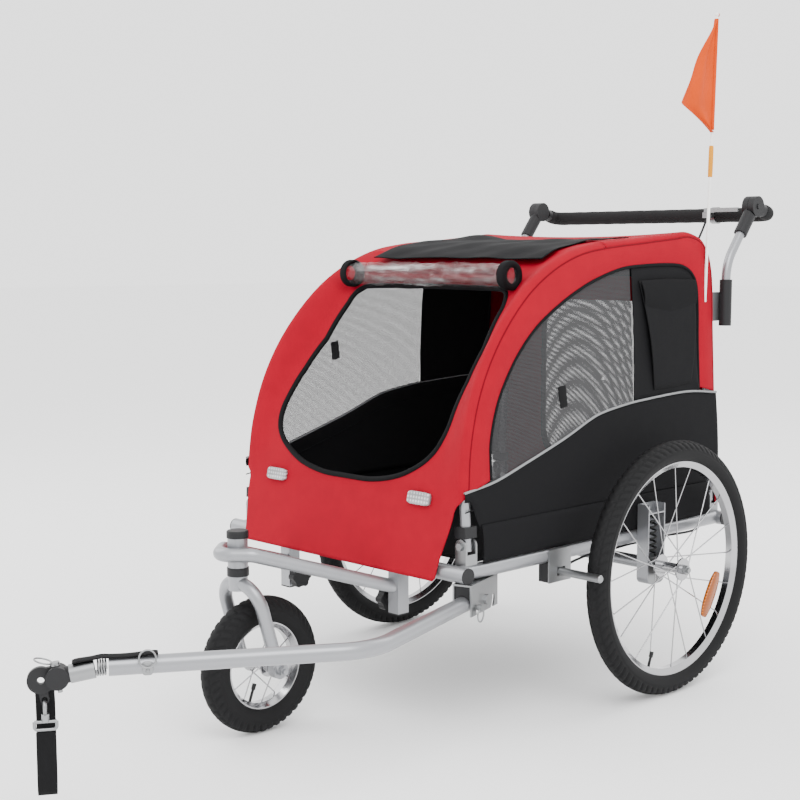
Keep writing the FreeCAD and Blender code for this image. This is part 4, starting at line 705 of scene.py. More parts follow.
def panel_rings(loop, low, high, rings):
    """Rings of (x, t) from a hole's loop out to a rectangle from t = low to high, whose sides are then drawn to
    the cloth's own edge or, on the front, to the apron's."""
    centre = np.array((0.0, loop[:, 1].mean()))
    reach = loop - centre
    room_x = PANEL_HALF / np.maximum(np.abs(reach[:, 0]), TINY)
    room_t = np.where(reach[:, 1] < 0, low, high) - centre[1]
    room_t = room_t / np.where(np.abs(reach[:, 1]) < TINY, TINY, reach[:, 1])
    outer = centre + reach * np.minimum(room_x, room_t)[:, None]
    share = np.linspace(0, 1, rings)[:, None] ** RING_CROWD
    x, t = (near * (1 - share) + far * share for near, far in zip(loop.T, outer.T))
    z = seam_at(t)[0][..., 1]
    trim = POST_ROOM * smoothstep(*POST_ROOM_Z, z) + HEM_TAPER * smoothstep(*HEM_TAPER_Z, z)
    edge = edge_x(t) - np.where(t < BROW_T, trim, 0.0)
    return x * (edge / PANEL_HALF * share + 1 - share), t


def door_loop(count):
    """The door's whole outline as (x, t), counter-clockwise from its lowest point."""
    half = smooth_line(DOOR, count // 2 + 1)
    full = np.vstack((half, half[-2:0:-1] * (-1, 1)))
    return np.stack((full[:, 0], height_to_t(full[:, 1])), 1)


# A front reflector's half length and height, and its layers: (share of its size, depth)
REFLECTOR_HALF = (0.028, 0.012)
REFLECTOR_LAYERS = (
    (0.0, 0.0015), (1.0, 0.0015), (1.0, 0.0075), (0.93, 0.0092), (0.84, 0.0092), (0.80, 0.0082), (0.0, 0.0086),
)
DOOR_BINDING_RADIUS = 0.0052
DOOR_BINDING_UP = (0.1, 0.8, 0.6)


class TRAILER_OT_front(bpy.types.Operator):
    """Nose, apron, door binding and front reflectors"""

    bl_idname = "trailer.front"
    bl_label = "Front of the cabin"

    def execute(self, context):
        net = on_nose(*panel_rings(door_loop(320), 0.0, BROW_T, 30))
        cloth("front_cover", net, CABIN, "red_fabric", SIDE_FRAMES, "red_lining", ("front_panel",), closed=True,
              flip=True, flat=(2 * side_x(SEAM[0][1]), way_length(NOSE_LINE)))
        line = on_nose(*door_loop(260).T)
        binding = tube_piece("door_binding", line, DOOR_BINDING_RADIUS, 10, closed=True, up=DOOR_BINDING_UP)
        dress(binding, CABIN, "binding")
        t = height_to_t(REFLECTOR[1])
        out = np.array((0.0, *seam_at(t)[1]))
        for side, name in SIDE_NAMES.items():
            middle = on_nose(np.array(side * REFLECTOR[0]), t)
            lens = lens_piece(name + "_reflector", middle, OUT, np.cross(out, OUT), out, REFLECTOR_HALF,
                              REFLECTOR_LAYERS)
            dress(lens, CABIN, "reflector", replaced=("front_reflectors",) if side > 0 else ())
        return {"FINISHED"}


REAR_WINDOW_HALF = 0.170
REAR_WINDOW_Z = (0.405, 0.795)
REAR_WINDOW_POWER = 8
REAR_FRAME = 0.028
REAR_BINDING_LIFT = (0.0030, 0.0030, 0.0006, 0.0006)


def rear_loop(grow, count=240):
    """The rear window's outline as (x, t): a squared ellipse, grown by a margin."""
    heights = np.array((REAR_WINDOW_Z[1] + grow * 0.5, REAR_WINDOW_Z[0] - grow))
    low, high = np.interp(-heights, -SEAM_LINE[FALLING, 1], SEAM_STEP[FALLING])
    u, v = squared_circle(np.linspace(0, TURN, 4000), REAR_WINDOW_POWER)
    loop = np.stack((u * (REAR_WINDOW_HALF + grow), (low + high) / 2 + v * (high - low) / 2), 1)
    return even_line(loop, count + 1)[:-1]


def add_rear(top):
    """The rear: a red sheet round a mesh window with a wide black binding; top is where the roof ends."""
    loop = rear_loop(0.0)
    net = on_cabin(*panel_rings(rear_loop(REAR_FRAME / 2), top, 1.0, 16))
    cloth("rear_cover", net, CABIN, "red_fabric", SIDE_FRAMES, "red_lining", ("rear_panel",), closed=True,
          flip=True, flat=(2 * side_x(SEAM[-1][1]), way_length(SEAM_LINE[SEAM_STEP > top])))
    x, t = np.stack((loop, rear_loop(REAR_FRAME)))[[0, 1, 1, 0]].transpose(2, 0, 1)
    net = on_cabin(x, t, np.array(REAR_BINDING_LIFT)[:, None])
    binding = grid_piece("rear_window_binding", net, closed_rows=True, closed_columns=True, flip=True)
    bevel_edges(binding, 0.001)
    dress(binding, CABIN, "binding")
    middle = loop.mean(axis=0)
    fill = middle + (loop - middle) * np.linspace(0.02, 1, 12)[:, None, None]
    net = on_cabin(*fill.transpose(2, 0, 1))
    height = np.ptp(seam_at(loop[:, 1])[0][:, 1])
    cloth("rear_window", net, CABIN, "rear_mesh", ("rear_cover",), thickness=0, closed=True, flip=True,
          flat=(2 * REAR_WINDOW_HALF, height))


ROOF_END_Y = 0.20
ROOF_END_Z = 0.815
FLAP_X = (-0.212, 0.248)
FLAP_Y = (-0.236, 0.024)
FLAP_LIFT = 0.0045


def add_roof_flap():
    """The black sunroof cover: a rectangle of the roof, lifted a little and by crossing creases, with a small
    peak at its far rear corner where it isn't pulled tight."""
    y, x = np.meshgrid(np.linspace(*FLAP_Y, 80), np.linspace(*FLAP_X, 110), indexing="ij")
    creases = 0.0016 * np.sin(29 * x + 30 * y) * np.sin(38 * y - 12 * x) + 0.0005 * np.sin(61 * x - 60 * y)
    peak = 0.012 * np.exp(-((x + 0.13) / 0.055) ** 2 - ((y - 0.005) / 0.05) ** 2)
    net = on_cabin(x, depth_to_t(y), FLAP_LIFT + creases + peak)
    cloth("roof_flap", net, CABIN, "black_fabric", ("roof_cover",), held="laid")


class TRAILER_OT_roof(bpy.types.Operator):
    """Roof, rear and the black roof flap"""

    bl_idname = "trailer.roof"
    bl_label = "Roof and rear"

    def execute(self, context):
        t = np.linspace(BROW_T, 1.0, 130)
        y, z = seam_at(t)[0].T
        split = int(np.argmax((y > ROOF_END_Y) & (z < ROOF_END_Z)))
        t, s = np.meshgrid(t[:split + 1], np.linspace(-1, 1, 70), indexing="ij")
        net = on_cabin(s * edge_x(t), t)
        cloth("roof_cover", net, CABIN, "red_fabric", SIDE_FRAMES, "lining", ("roof_panel",))
        add_rear(float(t[split, 0]))
        add_roof_flap()
        return {"FINISHED"}


# Sides

OUTER_SIDE = smooth_line(SEAM[2:], 400)
BAND_FOOT_Z = 0.447
PIPING_REAR_Y = 0.262
WINDOW_Y = (-0.4375, -0.020)
POCKET_END_Y = 0.199
SIDE_FULL = 0.003

# The lower panel's hem, raised by a notch at its front, and the skirt that hangs below it
LOWER_HEM_Z = 0.381
NOTCH = 0.050
NOTCH_Y = (-0.466, -0.492)
SKIRT_Y = (-0.470, 0.226)
SKIRT_Z = (0.387, 0.320)
SKIRT_OUT = 0.0024
CREASE_DROP = (0.0, -0.034)

# Pocket behind the window and the tab on it: (y, z); a tab has its middle and half its length
POCKET_TOP = ((0.002, 0.806), (0.095, 0.809), (0.184, 0.806))
POCKET_FOOT = ((0.044, 0.590), (0.105, 0.592), (0.170, 0.597))
POCKET_FLAP = ((0.012, 0.757), (0.098, 0.733), (0.186, 0.757))
TABS = {"left": ((-0.2355, 0.596), (0.0024, -0.020)), "right": ((-0.273, 0.655), (0.0030, -0.019))}

TAB_OUT = 0.0024
TAB_WIDTH = 0.021
TAB_THICKNESS = 0.0016


def side_sheet(side, part, edges, rows, body, finish, rests_on, full=SIDE_FULL, out=0.0, **more):
    """A sheet of one side between two lines of (y, z) with one count, a little full in the middle, set outward
    and mirrored for the right side."""
    share = np.linspace(0, 1, rows)[:, None, None]
    flat = edges[0] * (1 - share) + edges[1] * share
    x = side_x(flat[..., 1]) + full * np.sin(np.pi * share[..., 0]) + out
    net = np.concatenate((side * x[..., None], flat), -1)
    return cloth(f"{SIDE_NAMES[side]}_{part}", net, body, finish, rests_on, flip=side > 0, **more)


def side_line(side, line, out):
    """A (y, z) line laid on one side's plane, a little outward."""
    return np.stack((side * (side_x(line[:, 1]) + out), line[:, 0], line[:, 1]), 1)


def cut_line(line, start, end, count):
    """The stretch of a (y, z) line between two values of y, evenly resampled."""
    keep = (line[:, 0] >= start) & (line[:, 0] <= end)
    return even_line(line[keep], count)


class TRAILER_OT_sides(bpy.types.Operator):
    """Red bands, window mesh, pockets, piping, lower panels and skirts on both sides"""

    bl_idname = "trailer.sides"
    bl_label = "Sides of the cabin"

    def execute(self, context):
        piping = smooth_line(PIPING, 300)
        band_edge = smooth_line(BAND_EDGE, 300)
        rear_foot = np.interp(PIPING_REAR_Y, *piping.T)
        start = int(np.argmax(OUTER_SIDE[:, 1] > BAND_FOOT_Z))
        stop = len(OUTER_SIDE) - int(np.argmax(OUTER_SIDE[::-1, 1] > rear_foot))
        outer = even_line(OUTER_SIDE[start:stop], 240)
        outer = outer - line_out(outer) * sizes().edge_radius
        inner = even_line(band_edge, 240)
        window = [cut_line(line, *WINDOW_Y, 120) for line in (band_edge, piping)]
        pocket = (even_line(band_edge[band_edge[:, 0] > WINDOW_Y[1]], 120),
                  cut_line(piping, WINDOW_Y[1], POCKET_END_Y, 120))
        lower_top = even_line(piping, 160)
        y = lower_top[:, 0]
        lower = (lower_top, np.stack((y, LOWER_HEM_Z + NOTCH * smoothstep(*NOTCH_Y, y)), 1))
        y = y[(y > SKIRT_Y[0]) & (y < SKIRT_Y[1])]
        skirt = [np.stack((y, np.full(len(y), z)), 1) for z in SKIRT_Z]
        crease = even_line(piping + CREASE_DROP, 160)
        top, foot, tip = (even_line(np.array(points), 60) for points in (POCKET_TOP, POCKET_FOOT, POCKET_FLAP))
        for side, name in SIDE_NAMES.items():
            body = name + "_side"
            tube = (name + "_side_frame",)
            band = (name + "_band",)
            side_sheet(side, "band", (outer, inner), 14, body, "red_fabric", tube, lining="red_lining",
                       replaced=(name + "_side_panel",))
            side_sheet(side, "window", window, 30, body, "window_mesh", band, full=0.001, thickness=0,
                       replaced=(name + "_window_mesh",))
            side_sheet(side, "pocket_panel", pocket, 20, body, "black_fabric", band, lining="lining")
            side_sheet(side, "lower_panel", lower, 20, body, "black_fabric", tube, lining="lining")
            side_sheet(side, "skirt", skirt, 8, "chassis", "black_fabric", ("side_rails",), out=SKIRT_OUT,
                       replaced=("side_skirts",) if side > 0 else ())
            for part, line, out, radius, sides, up, finish in (
                    ("piping", piping, 0.002, sizes().piping, 8, UP, "reflective"),
                    ("window_binding", inner, 0.001, 0.0035, 8, OUT, "binding"),
                    ("panel_crease", crease, 0.0018, 0.0012, 6, UP, "binding"),
                    ("band_seam", outer, 0.0, 0.0021, 8, OUT, "red_seam")):
                trim = tube_piece(f"{name}_{part}", side_line(side, line, out), radius, sides, up=up)
                dress(trim, body, finish)
            side_sheet(side, "pocket", (top, foot), 18, body, "black_fabric", (name + "_pocket_panel",),
                       full=0.009, out=0.003, held="laid")
            flap = side_sheet(side, "pocket_flap", (top, tip), 10, body, "binding", (name + "_pocket",),
                              full=0.004, out=0.0085, held="hung")
            bevel_edges(flap, 0.0006)
            middle, half = np.array(TABS[name])
            tab_line = side_line(side, middle + np.linspace(-1, 1, 9)[:, None] * half, TAB_OUT)
            tab = ribbon_piece(name + "_window_tab", tab_line, OUT, TAB_WIDTH, TAB_THICKNESS)
            dress(tab, body, "webbing")
        return {"FINISHED"}


FLOOR_DIP = 0.004
FLOOR_THICKNESS = 0.0025


class TRAILER_OT_floor(bpy.types.Operator):
    """Fabric floor of the cabin: it dips between the rails on half an ellipse"""

    bl_idname = "trailer.floor"
    bl_label = "Cabin floor"

    def execute(self, context):
        low, high = box_of("floor_panel")
        y, x = np.meshgrid(np.linspace(low[1], high[1], 60), np.linspace(low[0], high[0], 50), indexing="ij")
        across = 1 - (2 * (x - low[0]) / (high[0] - low[0]) - 1) ** 2
        z = high[2] - FLOOR_DIP * np.sqrt(np.maximum(across, 0))
        cloth("floor_cloth", np.stack((x, y, z), -1), "chassis", "black_fabric", ("side_rails", "cross_tubes"),
              replaced=("floor_panel",), thickness=FLOOR_THICKNESS, offset=-1.0)
        return {"FINISHED"}


ROLL_TURNS = 3.5
ROLL_OUTER = 0.0236
ROLL_INNER = 0.0140
ROLL_SHIFT = np.array((0.0, -0.0045, -0.0085))
ROLL_LENGTH_SHARE = 0.995

# Section of a band round the roll: (along the roll from the band's middle, radius)
ROLL_BAND_HALF = 0.0085
ROLL_BAND = np.array((
    (-0.0085, 0.0242), (-0.0085, 0.0268), (-0.006, 0.0278), (0.006, 0.0278), (0.0085, 0.0268), (0.0085, 0.0150),
    (0.0065, 0.0145), (-0.0085, 0.0242),
))


class TRAILER_OT_door_roll(bpy.types.Operator):
    """Rolled-up clear door, a spiral whose radius falls evenly with its angle, and its two holding bands"""

    bl_idname = "trailer.door_roll"
    bl_label = "Rolled door"

    def execute(self, context):
        low, high = box_of("door_roll")
        centre = (low + high) / 2 + ROLL_SHIFT
        half = (high[0] - low[0]) / 2
        s = np.linspace(-1, 1, 130)[:, None]
        turn = np.linspace(0, TURN * ROLL_TURNS, 240)[None]
        wobble = 0.0011 * np.sin(3 * turn + 9 * s) + 0.0008 * (np.sin(7 * turn - 23 * s) + np.sin(41 * s))
        radius = ROLL_OUTER - (ROLL_OUTER - ROLL_INNER) * turn / turn.max() + wobble
        net = about_x(s * half * ROLL_LENGTH_SHARE, radius, turn, centre)
        cloth("door_roll_sheet", net, CABIN, "clear_vinyl", ("front_cover",), replaced=("door_roll",),
              thickness=0, flip=True, held="gathered")
        turn = np.linspace(0, TURN, 64, endpoint=False)[None]
        for side, name in SIDE_NAMES.items():
            along = side * (ROLL_BAND[:, :1] + half - ROLL_BAND_HALF)
            ring = about_x(along, ROLL_BAND[:, 1:], turn, centre)
            band = grid_piece(name + "_roll_band", ring, closed_columns=True, flip=side < 0)
            dress(band, CABIN, "binding")
        return {"FINISHED"}


# Wheels

REAR_BLOCKS = 84
TYRE_WRAP = 0.80 * math.pi
VALVE_WAY = np.array((0.0, -0.35, -0.937))
VALVE_INSET = 0.012
VALVE_LENGTH = 0.034
VALVE_RADII = np.repeat((0.0026, 0.0040), (16, 8))
SPOKE_REFLECTOR = np.array((0.392, 0.1168, 0.1788))
SPOKE_REFLECTOR_WAY = np.array((0.0, 0.486, 0.874))
SPOKE_REFLECTOR_HALF = (0.048, 0.0135)
SPOKE_REFLECTOR_TAPER = 0.35
SPOKE_REFLECTOR_LAYERS = ((0.0, 0.0), (0.9, 0.0), (1.0, 0.002), (1.0, 0.007), (0.86, 0.009), (0.0, 0.009))


def tread_net(centre, outer, section, blocks):
    """A tyre's section, a circle open towards the rim, turned about the axle. Its radius is cut back by
    slanting grooves on both shoulders, one per block, and by rings round the crown and the sidewalls."""
    spin = np.linspace(0, TURN, blocks * 8, endpoint=False)[:, None]
    turn = np.linspace(-TYRE_WRAP, TYRE_WRAP, 56)[None]
    crown = np.abs(turn)
    wave = np.sin(blocks * spin + 5.5 * crown)
    grooves = smoothstep(0.25, 0.75, wave) * smoothstep(1.35, 1.15, crown) * smoothstep(0.16, 0.26, crown)
    rings = smoothstep(0.06, 0.02, np.abs(crown - 0.52)) + smoothstep(0.05, 0.02, np.abs(crown - 1.42)) * 0.5
    radius = section - sizes().tread_depth * np.maximum(grooves, rings)
    return about_x(centre[0] + radius * np.sin(turn), outer - section + radius * np.cos(turn), spin, centre)


class TRAILER_OT_tyres(bpy.types.Operator):
    """Treaded tyres with their valves on all three wheels, and the spoke reflector"""

    bl_idname = "trailer.tyres"
    bl_label = "Tyres"

    def execute(self, context):
        for wheel, blocks in (("left", REAR_BLOCKS), ("right", REAR_BLOCKS), ("front", sizes().knobs)):
            name, body = wheel + "_tyre", wheel + "_wheel"
            low, high = box_of(name)
            centre = (low + high) / 2
            net = tread_net(centre, (high[2] - low[2]) / 2, (high[0] - low[0]) / 2, blocks)
            tyre = grid_piece(name + "_tread", net, closed_rows=True, flip=True)
            dress(tyre, body, "tyre_rubber", replaced=(name,))
            rim_low, rim_high = box_of(wheel + "_rim")
            inner = (rim_high[2] - rim_low[2]) / 2 - VALVE_INSET
            reach = np.linspace(inner, inner - VALVE_LENGTH, len(VALVE_RADII))[:, None]
            stem = tube_piece(name + "_valve", centre + VALVE_WAY * reach, VALVE_RADII, up=OUT)
            dress(stem, body, "black_plastic")
        lens = lens_piece("spoke_reflector", SPOKE_REFLECTOR, SPOKE_REFLECTOR_WAY,
                          np.cross(OUT, SPOKE_REFLECTOR_WAY), OUT, SPOKE_REFLECTOR_HALF, SPOKE_REFLECTOR_LAYERS,
                          taper=SPOKE_REFLECTOR_TAPER)
        dress(lens, "left_wheel", "amber")
        return {"FINISHED"}


# Springs

SUSPENSION_WIRE = 0.004
SUSPENSION_TURNS = 7
HITCH_HEADING = math.radians(-121.8)
COUPLER_DROOP = math.radians(9.0)
COUPLER_COIL_RADIUS = 0.0115
COUPLER_WIRE = 0.0026
COUPLER_COIL_LENGTH = 0.0148
COUPLER_TURNS = 4


def coil_piece(name, middle, axis, side, radius, wire, length, turns):
    """A round wire wound on a helix: its angle and its height grow evenly along the wire."""
    turn = np.linspace(0, TURN * turns, 40 * turns + 1)[:, None]
    around = side * np.cos(turn) + np.cross(axis, side) * np.sin(turn)
    line = middle + around * radius + axis * ((turn / turn[-1] - 0.5) * length)
    return tube_piece(name, line - AXLE, wire / 2, 10, up=axis)


def hitch_frame():
    """The coupler spring's middle in the row frame, and the level direction in which the coupler points."""
    joints = {joint["name"]: joint for joint in frame["record"]["behaviour"]["joints"]}
    middle = np.array(joints["hitch_flex"]["pos_m"])
    return middle, np.array((math.cos(HITCH_HEADING), math.sin(HITCH_HEADING), 0.0))


class TRAILER_OT_springs(bpy.types.Operator):
    """Suspension springs and the coupler spring"""

    bl_idname = "trailer.springs"
    bl_label = "Springs"

    def execute(self, context):
        for name in SIDE_NAMES.values():
            node = name + "_spring"
            low, high = (np.array(corner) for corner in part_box(node))
            middle = (low + high) / 2
            height = high[2] - low[2]
            radius = (high[0] - low[0] - SUSPENSION_WIRE) / 2
            spring = coil_piece(name + "_suspension_coil", middle, UP, OUT, radius, SUSPENSION_WIRE,
                                height - SUSPENSION_WIRE, SUSPENSION_TURNS)
            dress(spring, "chassis", "black_spring", replaced=(node,))
            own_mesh(spring)
        middle, ahead = hitch_frame()
        tilted = ahead * math.cos(COUPLER_DROOP / 2) - UP * math.sin(COUPLER_DROOP / 2)
        spring = coil_piece("coupler_coil", middle, tilted, np.cross(UP, ahead), COUPLER_COIL_RADIUS,
                            COUPLER_WIRE, COUPLER_COIL_LENGTH, COUPLER_TURNS)
        dress(spring, None, "zinc_steel", replaced=("coupler_spring",))
        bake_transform(spring)
        return {"FINISHED"}


# Cords, handle grip and flag

def nurbs_line(points):
    """The smooth line of a NURBS spline that has the route's points as its control points."""
    curve = bpy.data.curves.new("route", "CURVE")
    curve.dimensions = "3D"
    spline = curve.splines.new("NURBS")
    spline.points.add(len(points) - 1)
    spline.points.foreach_set("co", np.column_stack((points, np.ones(len(points)))).ravel())
    spline.order_u = 3
    spline.use_endpoint_u = True
    spline.resolution_u = 8
    holder = bpy.data.objects.new("route", curve)
    bpy.context.scene.collection.objects.link(holder)
    bpy.context.view_layer.update()
    mesh = bpy.data.meshes.new_from_object(holder)
    line = np.empty(len(mesh.vertices) * 3)
    mesh.vertices.foreach_get("co", line)
    bpy.data.objects.remove(holder)
    bpy.data.meshes.remove(mesh)
    return line.reshape(-1, 3)


CABLE_ROUTE = (
    (0.1630, 0.4150, 0.9355), (0.1620, 0.3940, 0.8960), (0.1600, 0.3520, 0.8500), (0.1570, 0.3180, 0.7950),
    (0.1540, 0.3070, 0.7300), (0.1520, 0.3030, 0.6600), (0.1520, 0.2980, 0.5900), (0.1560, 0.2940, 0.5200),
    (0.1680, 0.2940, 0.4550), (0.1900, 0.2940, 0.3950), (0.2220, 0.2930, 0.3400), (0.2520, 0.2840, 0.3000),
    (0.2720, 0.2580, 0.2830), (0.2810, 0.2220, 0.2780), (0.2840, 0.1720, 0.2800), (0.2830, 0.1120, 0.2830),
    (0.2850, 0.0520, 0.2810), (0.2840, -0.0080, 0.2830), (0.2850, -0.0680, 0.2800), (0.2840, -0.1280, 0.2810),
    (0.2880, -0.1798, 0.2770), (0.2970, -0.2138, 0.2750), (0.3030, -0.2365, 0.2750),
)
CABLE_DIAMETER = 0.005
STRAP_ROUTE = (
    (-0.0060, -0.0285), (-0.0080, -0.0350), (-0.0155, -0.0460), (-0.0180, -0.0600), (-0.0190, -0.0900),
    (-0.0200, -0.1250), (-0.0190, -0.1600), (-0.0120, -0.1820), (-0.0030, -0.1900), (0.0050, -0.1820),
    (0.0060, -0.1600), (0.0030, -0.1250), (0.0000, -0.0922),
)
STRAP_REACH = 0.082224
STRAP_WIDTH = 0.028
STRAP_THICKNESS = 0.0024
CABLE_UP = (0.7, 0.5, 0.2)

# Places along the cable's line, counted in its points: the adjuster's middle and half its length, and a span of
# points for each stretch of cable
CABLE_JOINT = 40
BARREL_REACH = 3
TOP_BEND = (5, 28)
SHEATH_BEND = (46, 110)
BARREL_RADIUS = 0.0042
BARREL_RIB = 0.0006

# Webbing laid along the arm to the coupler: (along the arm from the spring's middle, height)
ARM_STRAP = (
    (-0.0820, 0.0172), (-0.0720, 0.0176), (-0.0400, 0.0156), (-0.0150, 0.0158), (0.0, 0.0166), (0.0150, 0.0143),
    (0.0340, 0.0124), (0.0420, 0.0102),
)
ARM_STRAP_WIDTH = 0.020
ARM_STRAP_THICKNESS = 0.0022

# Ring on the tow arm's side: its place from the spring's middle, and the layers of its tab and rivet
ARM_RING = -0.066
ARM_RING_RADIUS = 0.0125
ARM_RING_WIRE = 0.0013
ARM_RING_OUT = 0.0178
ARM_RING_LEAN = 0.0035
ARM_RING_RISE = 0.0130
RING_TAB_DROP = 0.0020
RING_TAB_HALF = (0.0080, 0.0105)
RING_TAB_LAYERS = ((0.0, 0.0140), (1.0, 0.0140), (1.0, 0.0152), (0.94, 0.0158), (0.0, 0.0158))
RIVET_DROP = 0.0055
RIVET_HALF = (0.0034, 0.0034)
RIVET_LAYERS = ((0.0, 0.0150), (1.0, 0.0150), (0.92, 0.0170), (0.6, 0.0180), (0.0, 0.0184))


def add_arm_ring(middle, ahead, out):
    """Wire ring on the tow arm's side with the riveted tab that holds it: a leaning circle, a squared ellipse
    of power 4 and a round dome."""
    turn = np.linspace(0, TURN, 64, endpoint=False)[:, None]
    circle = (ahead * np.cos(turn) + UP * np.sin(turn)) * ARM_RING_RADIUS
    line = middle + circle + out * (ARM_RING_OUT - ARM_RING_LEAN * np.sin(turn)) + UP * ARM_RING_RISE
    ring = tube_piece("arm_ring", line, ARM_RING_WIRE, 10, closed=True, up=out)
    tab = lens_piece("arm_ring_tab", middle - UP * RING_TAB_DROP, ahead, UP, out, RING_TAB_HALF,
                     RING_TAB_LAYERS, power=4)
    rivet = lens_piece("arm_ring_rivet", middle - UP * RIVET_DROP, ahead, UP, out, RIVET_HALF, RIVET_LAYERS,
                       power=2)
    for piece in (ring, tab, rivet):
        dress(piece, "tow_arm", "zinc_steel")


class TRAILER_OT_cords(bpy.types.Operator):
    """Brake cable with its adjuster, hanging safety strap, and the webbing and ring on the tow arm"""

    bl_idname = "trailer.cords"
    bl_label = "Cable and strap"

    def execute(self, context):
        line = nurbs_line(row(CABLE_ROUTE))
        barrel_line = even_line(line[CABLE_JOINT - BARREL_REACH:CABLE_JOINT + BARREL_REACH + 1], 20) - AXLE
        ribs_and_shade = BARREL_RADIUS + BARREL_RIB * np.cos(np.linspace(0, 3 * TURN, 20))
        barrel = tube_piece("cable_adjuster", barrel_line, ribs_and_shade, 14, up=CABLE_UP)
        dress(barrel, "handle", "black_plastic")
        housing = frame["nodes"]["brake_housing"]
        for name, path, bodies, places, far_end, end_piece, replaced in (
                ("brake_cable_top", line[:CABLE_JOINT + 1], ("handle_bar", "handle"), TOP_BEND, "connector",
                 barrel, ()),
                ("brake_cable_sheath", line[CABLE_JOINT:], ("handle", "chassis"), SHEATH_BEND, "object",
                 housing, ("brake_cable",))):
            cable = tube_piece(name, path - AXLE, CABLE_DIAMETER / 2, up=CABLE_UP)
            dress(cable, None, "black_plastic", replaced=replaced)
            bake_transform(cable)
        middle, ahead = hitch_frame()
        side = np.cross(UP, ahead)
        aside, drop = np.array(STRAP_ROUTE).T[..., None]
        line = nurbs_line(middle + ahead * STRAP_REACH + side * aside + UP * drop)
        normal = unit(np.cross(ahead, np.gradient(line, axis=0)))
        strap = ribbon_piece("safety_webbing", line - AXLE, normal, STRAP_WIDTH, STRAP_THICKNESS)
        dress(strap, "coupler", "webbing", replaced=("safety_strap",))
        along, lift = smooth_line(ARM_STRAP, 90).T[..., None]
        band_line = middle + ahead * along + UP * lift - AXLE
        band = ribbon_piece("arm_webbing", band_line, UP, ARM_STRAP_WIDTH, ARM_STRAP_THICKNESS)
        dress(band, None, "webbing")
        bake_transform(band)
        add_arm_ring(middle + ahead * ARM_RING - AXLE, -ahead, side)
        return {"FINISHED"}


GRIP_POINTS = (
    (0.300, 0.4215, 0.9496), (0.300, 0.4300, 0.9476), (0.2985, 0.4400, 0.9450), (0.2920, 0.4470, 0.9437),
    (0.2800, 0.4495, 0.9430), (0.250, 0.450, 0.943), (0.0, 0.450, 0.943),
)
GRIP_RADIUS = 0.0154


class TRAILER_OT_grip(bpy.types.Operator):
    """Foam grip round the push bar: a tube with faint waves, a little thinner at its ends"""

    bl_idname = "trailer.grip"
    bl_label = "Handle grip"

    def execute(self, context):
        half = np.array(GRIP_POINTS)
        line = smooth_line(np.vstack((half, half[-2::-1] * (-1, 1, 1))), 320)
        share = np.linspace(0, 1, 320)
        ends = smoothstep(0.012, 0.0, np.minimum(share, 1 - share))
        grip = tube_piece("foam_grip", line, GRIP_RADIUS + 0.0002 * np.sin(share * 90) - 0.0008 * ends, 28)
        dress(grip, "handle_bar", "foam_grip", replaced=("handle_grip",))
        return {"FINISHED"}


# The pennant's hoist leans with the pole; its tail hangs below its top, at a share of its far edge
HOIST_LEAN = 0.0072
TAIL_DROP = 0.175
TAIL_SHARE = 0.775
PENNANT_THICKNESS = 0.0008
POLE_LEAN = math.radians(1.9)
POLE_FOOT = (0.226, 0.760)
SLEEVE_SPAN = (0.350, 0.572)
SLEEVE_RADIUS = 0.0042
FERRULE_SPAN = (0.255, 0.318)
FERRULE_RADIUS = 0.0044
FERRULE_SWELL = 0.0006
TIP_RADIUS = 0.0046
TIP_INSET = (0.0025, 0.0048)


class TRAILER_OT_flag(bpy.types.Operator):
    """Waving pennant with a sewn sleeve, the pole's ferrule and its round tip"""

    bl_idname = "trailer.flag"
    bl_label = "Safety flag"

    def execute(self, context):
        low, high = box_of("flag")
        pole_low, pole_high = box_of("flag_pole")
        top = high[1:]
        foot = np.array((high[1] - HOIST_LEAN, low[2]))
        tail = np.array((low[1], high[2] - TAIL_DROP))
        down = np.linspace(0, 1, 70)[:, None, None]
        out = np.linspace(0, 1, 44)[None, :, None]
        mast = top * (1 - down) + foot * down
        ridge = np.where(down < TAIL_SHARE, top + (tail - top) * (down / TAIL_SHARE),
                         tail + (foot - tail) * (down - TAIL_SHARE) / (1 - TAIL_SHARE))
        wave = (0.005 * np.sin(9 * out + 5 * down) + 0.002 * np.sin(14 * down)) * out
        net = np.concatenate(((low[0] + high[0]) / 2 + wave, mast * (1 - out) + ridge * out), -1)
        area = abs(float(np.cross(foot - top, tail - top))) / 2
        cloth("pennant", net, "flag_mast", "orange_flag", ("flag_pole",), replaced=("flag",), offset=0.0,
              thickness=PENNANT_THICKNESS, flat=(high[1] - low[1], high[2] - low[2]), area=area, held="hung")
        lean = np.array((0.0, math.sin(POLE_LEAN), math.cos(POLE_LEAN)))
        pole_x = (pole_low[0] + pole_high[0]) / 2
        pole_foot = np.array((pole_x, *POLE_FOOT))
        sleeve = pole_foot + lean * np.linspace(*SLEEVE_SPAN, 40)[:, None]
        ferrule = pole_foot + lean * np.linspace(*FERRULE_SPAN, 30)[:, None]
        bumps = FERRULE_RADIUS + FERRULE_SWELL * np.sin(np.linspace(0, np.pi, 30)) ** 0.3
        turn = np.linspace(0, np.pi, 20)
        tip = np.array((pole_x, *(pole_high[1:] - TIP_INSET))) - lean * np.cos(turn)[:, None] * TIP_RADIUS
        for name, line, radius, sides, finish in (
                ("pennant_sleeve", sleeve, SLEEVE_RADIUS, 14, "orange_flag"),
                ("pole_ferrule", ferrule, bumps, 16, "yellow_ferrule"),
                ("pole_tip", tip, TIP_RADIUS * np.sin(turn) + 0.0001, 16, "orange_flag")):
            dress(tube_piece(name, line, radius, sides, up=OUT), "flag_mast", finish)
        return {"FINISHED"}


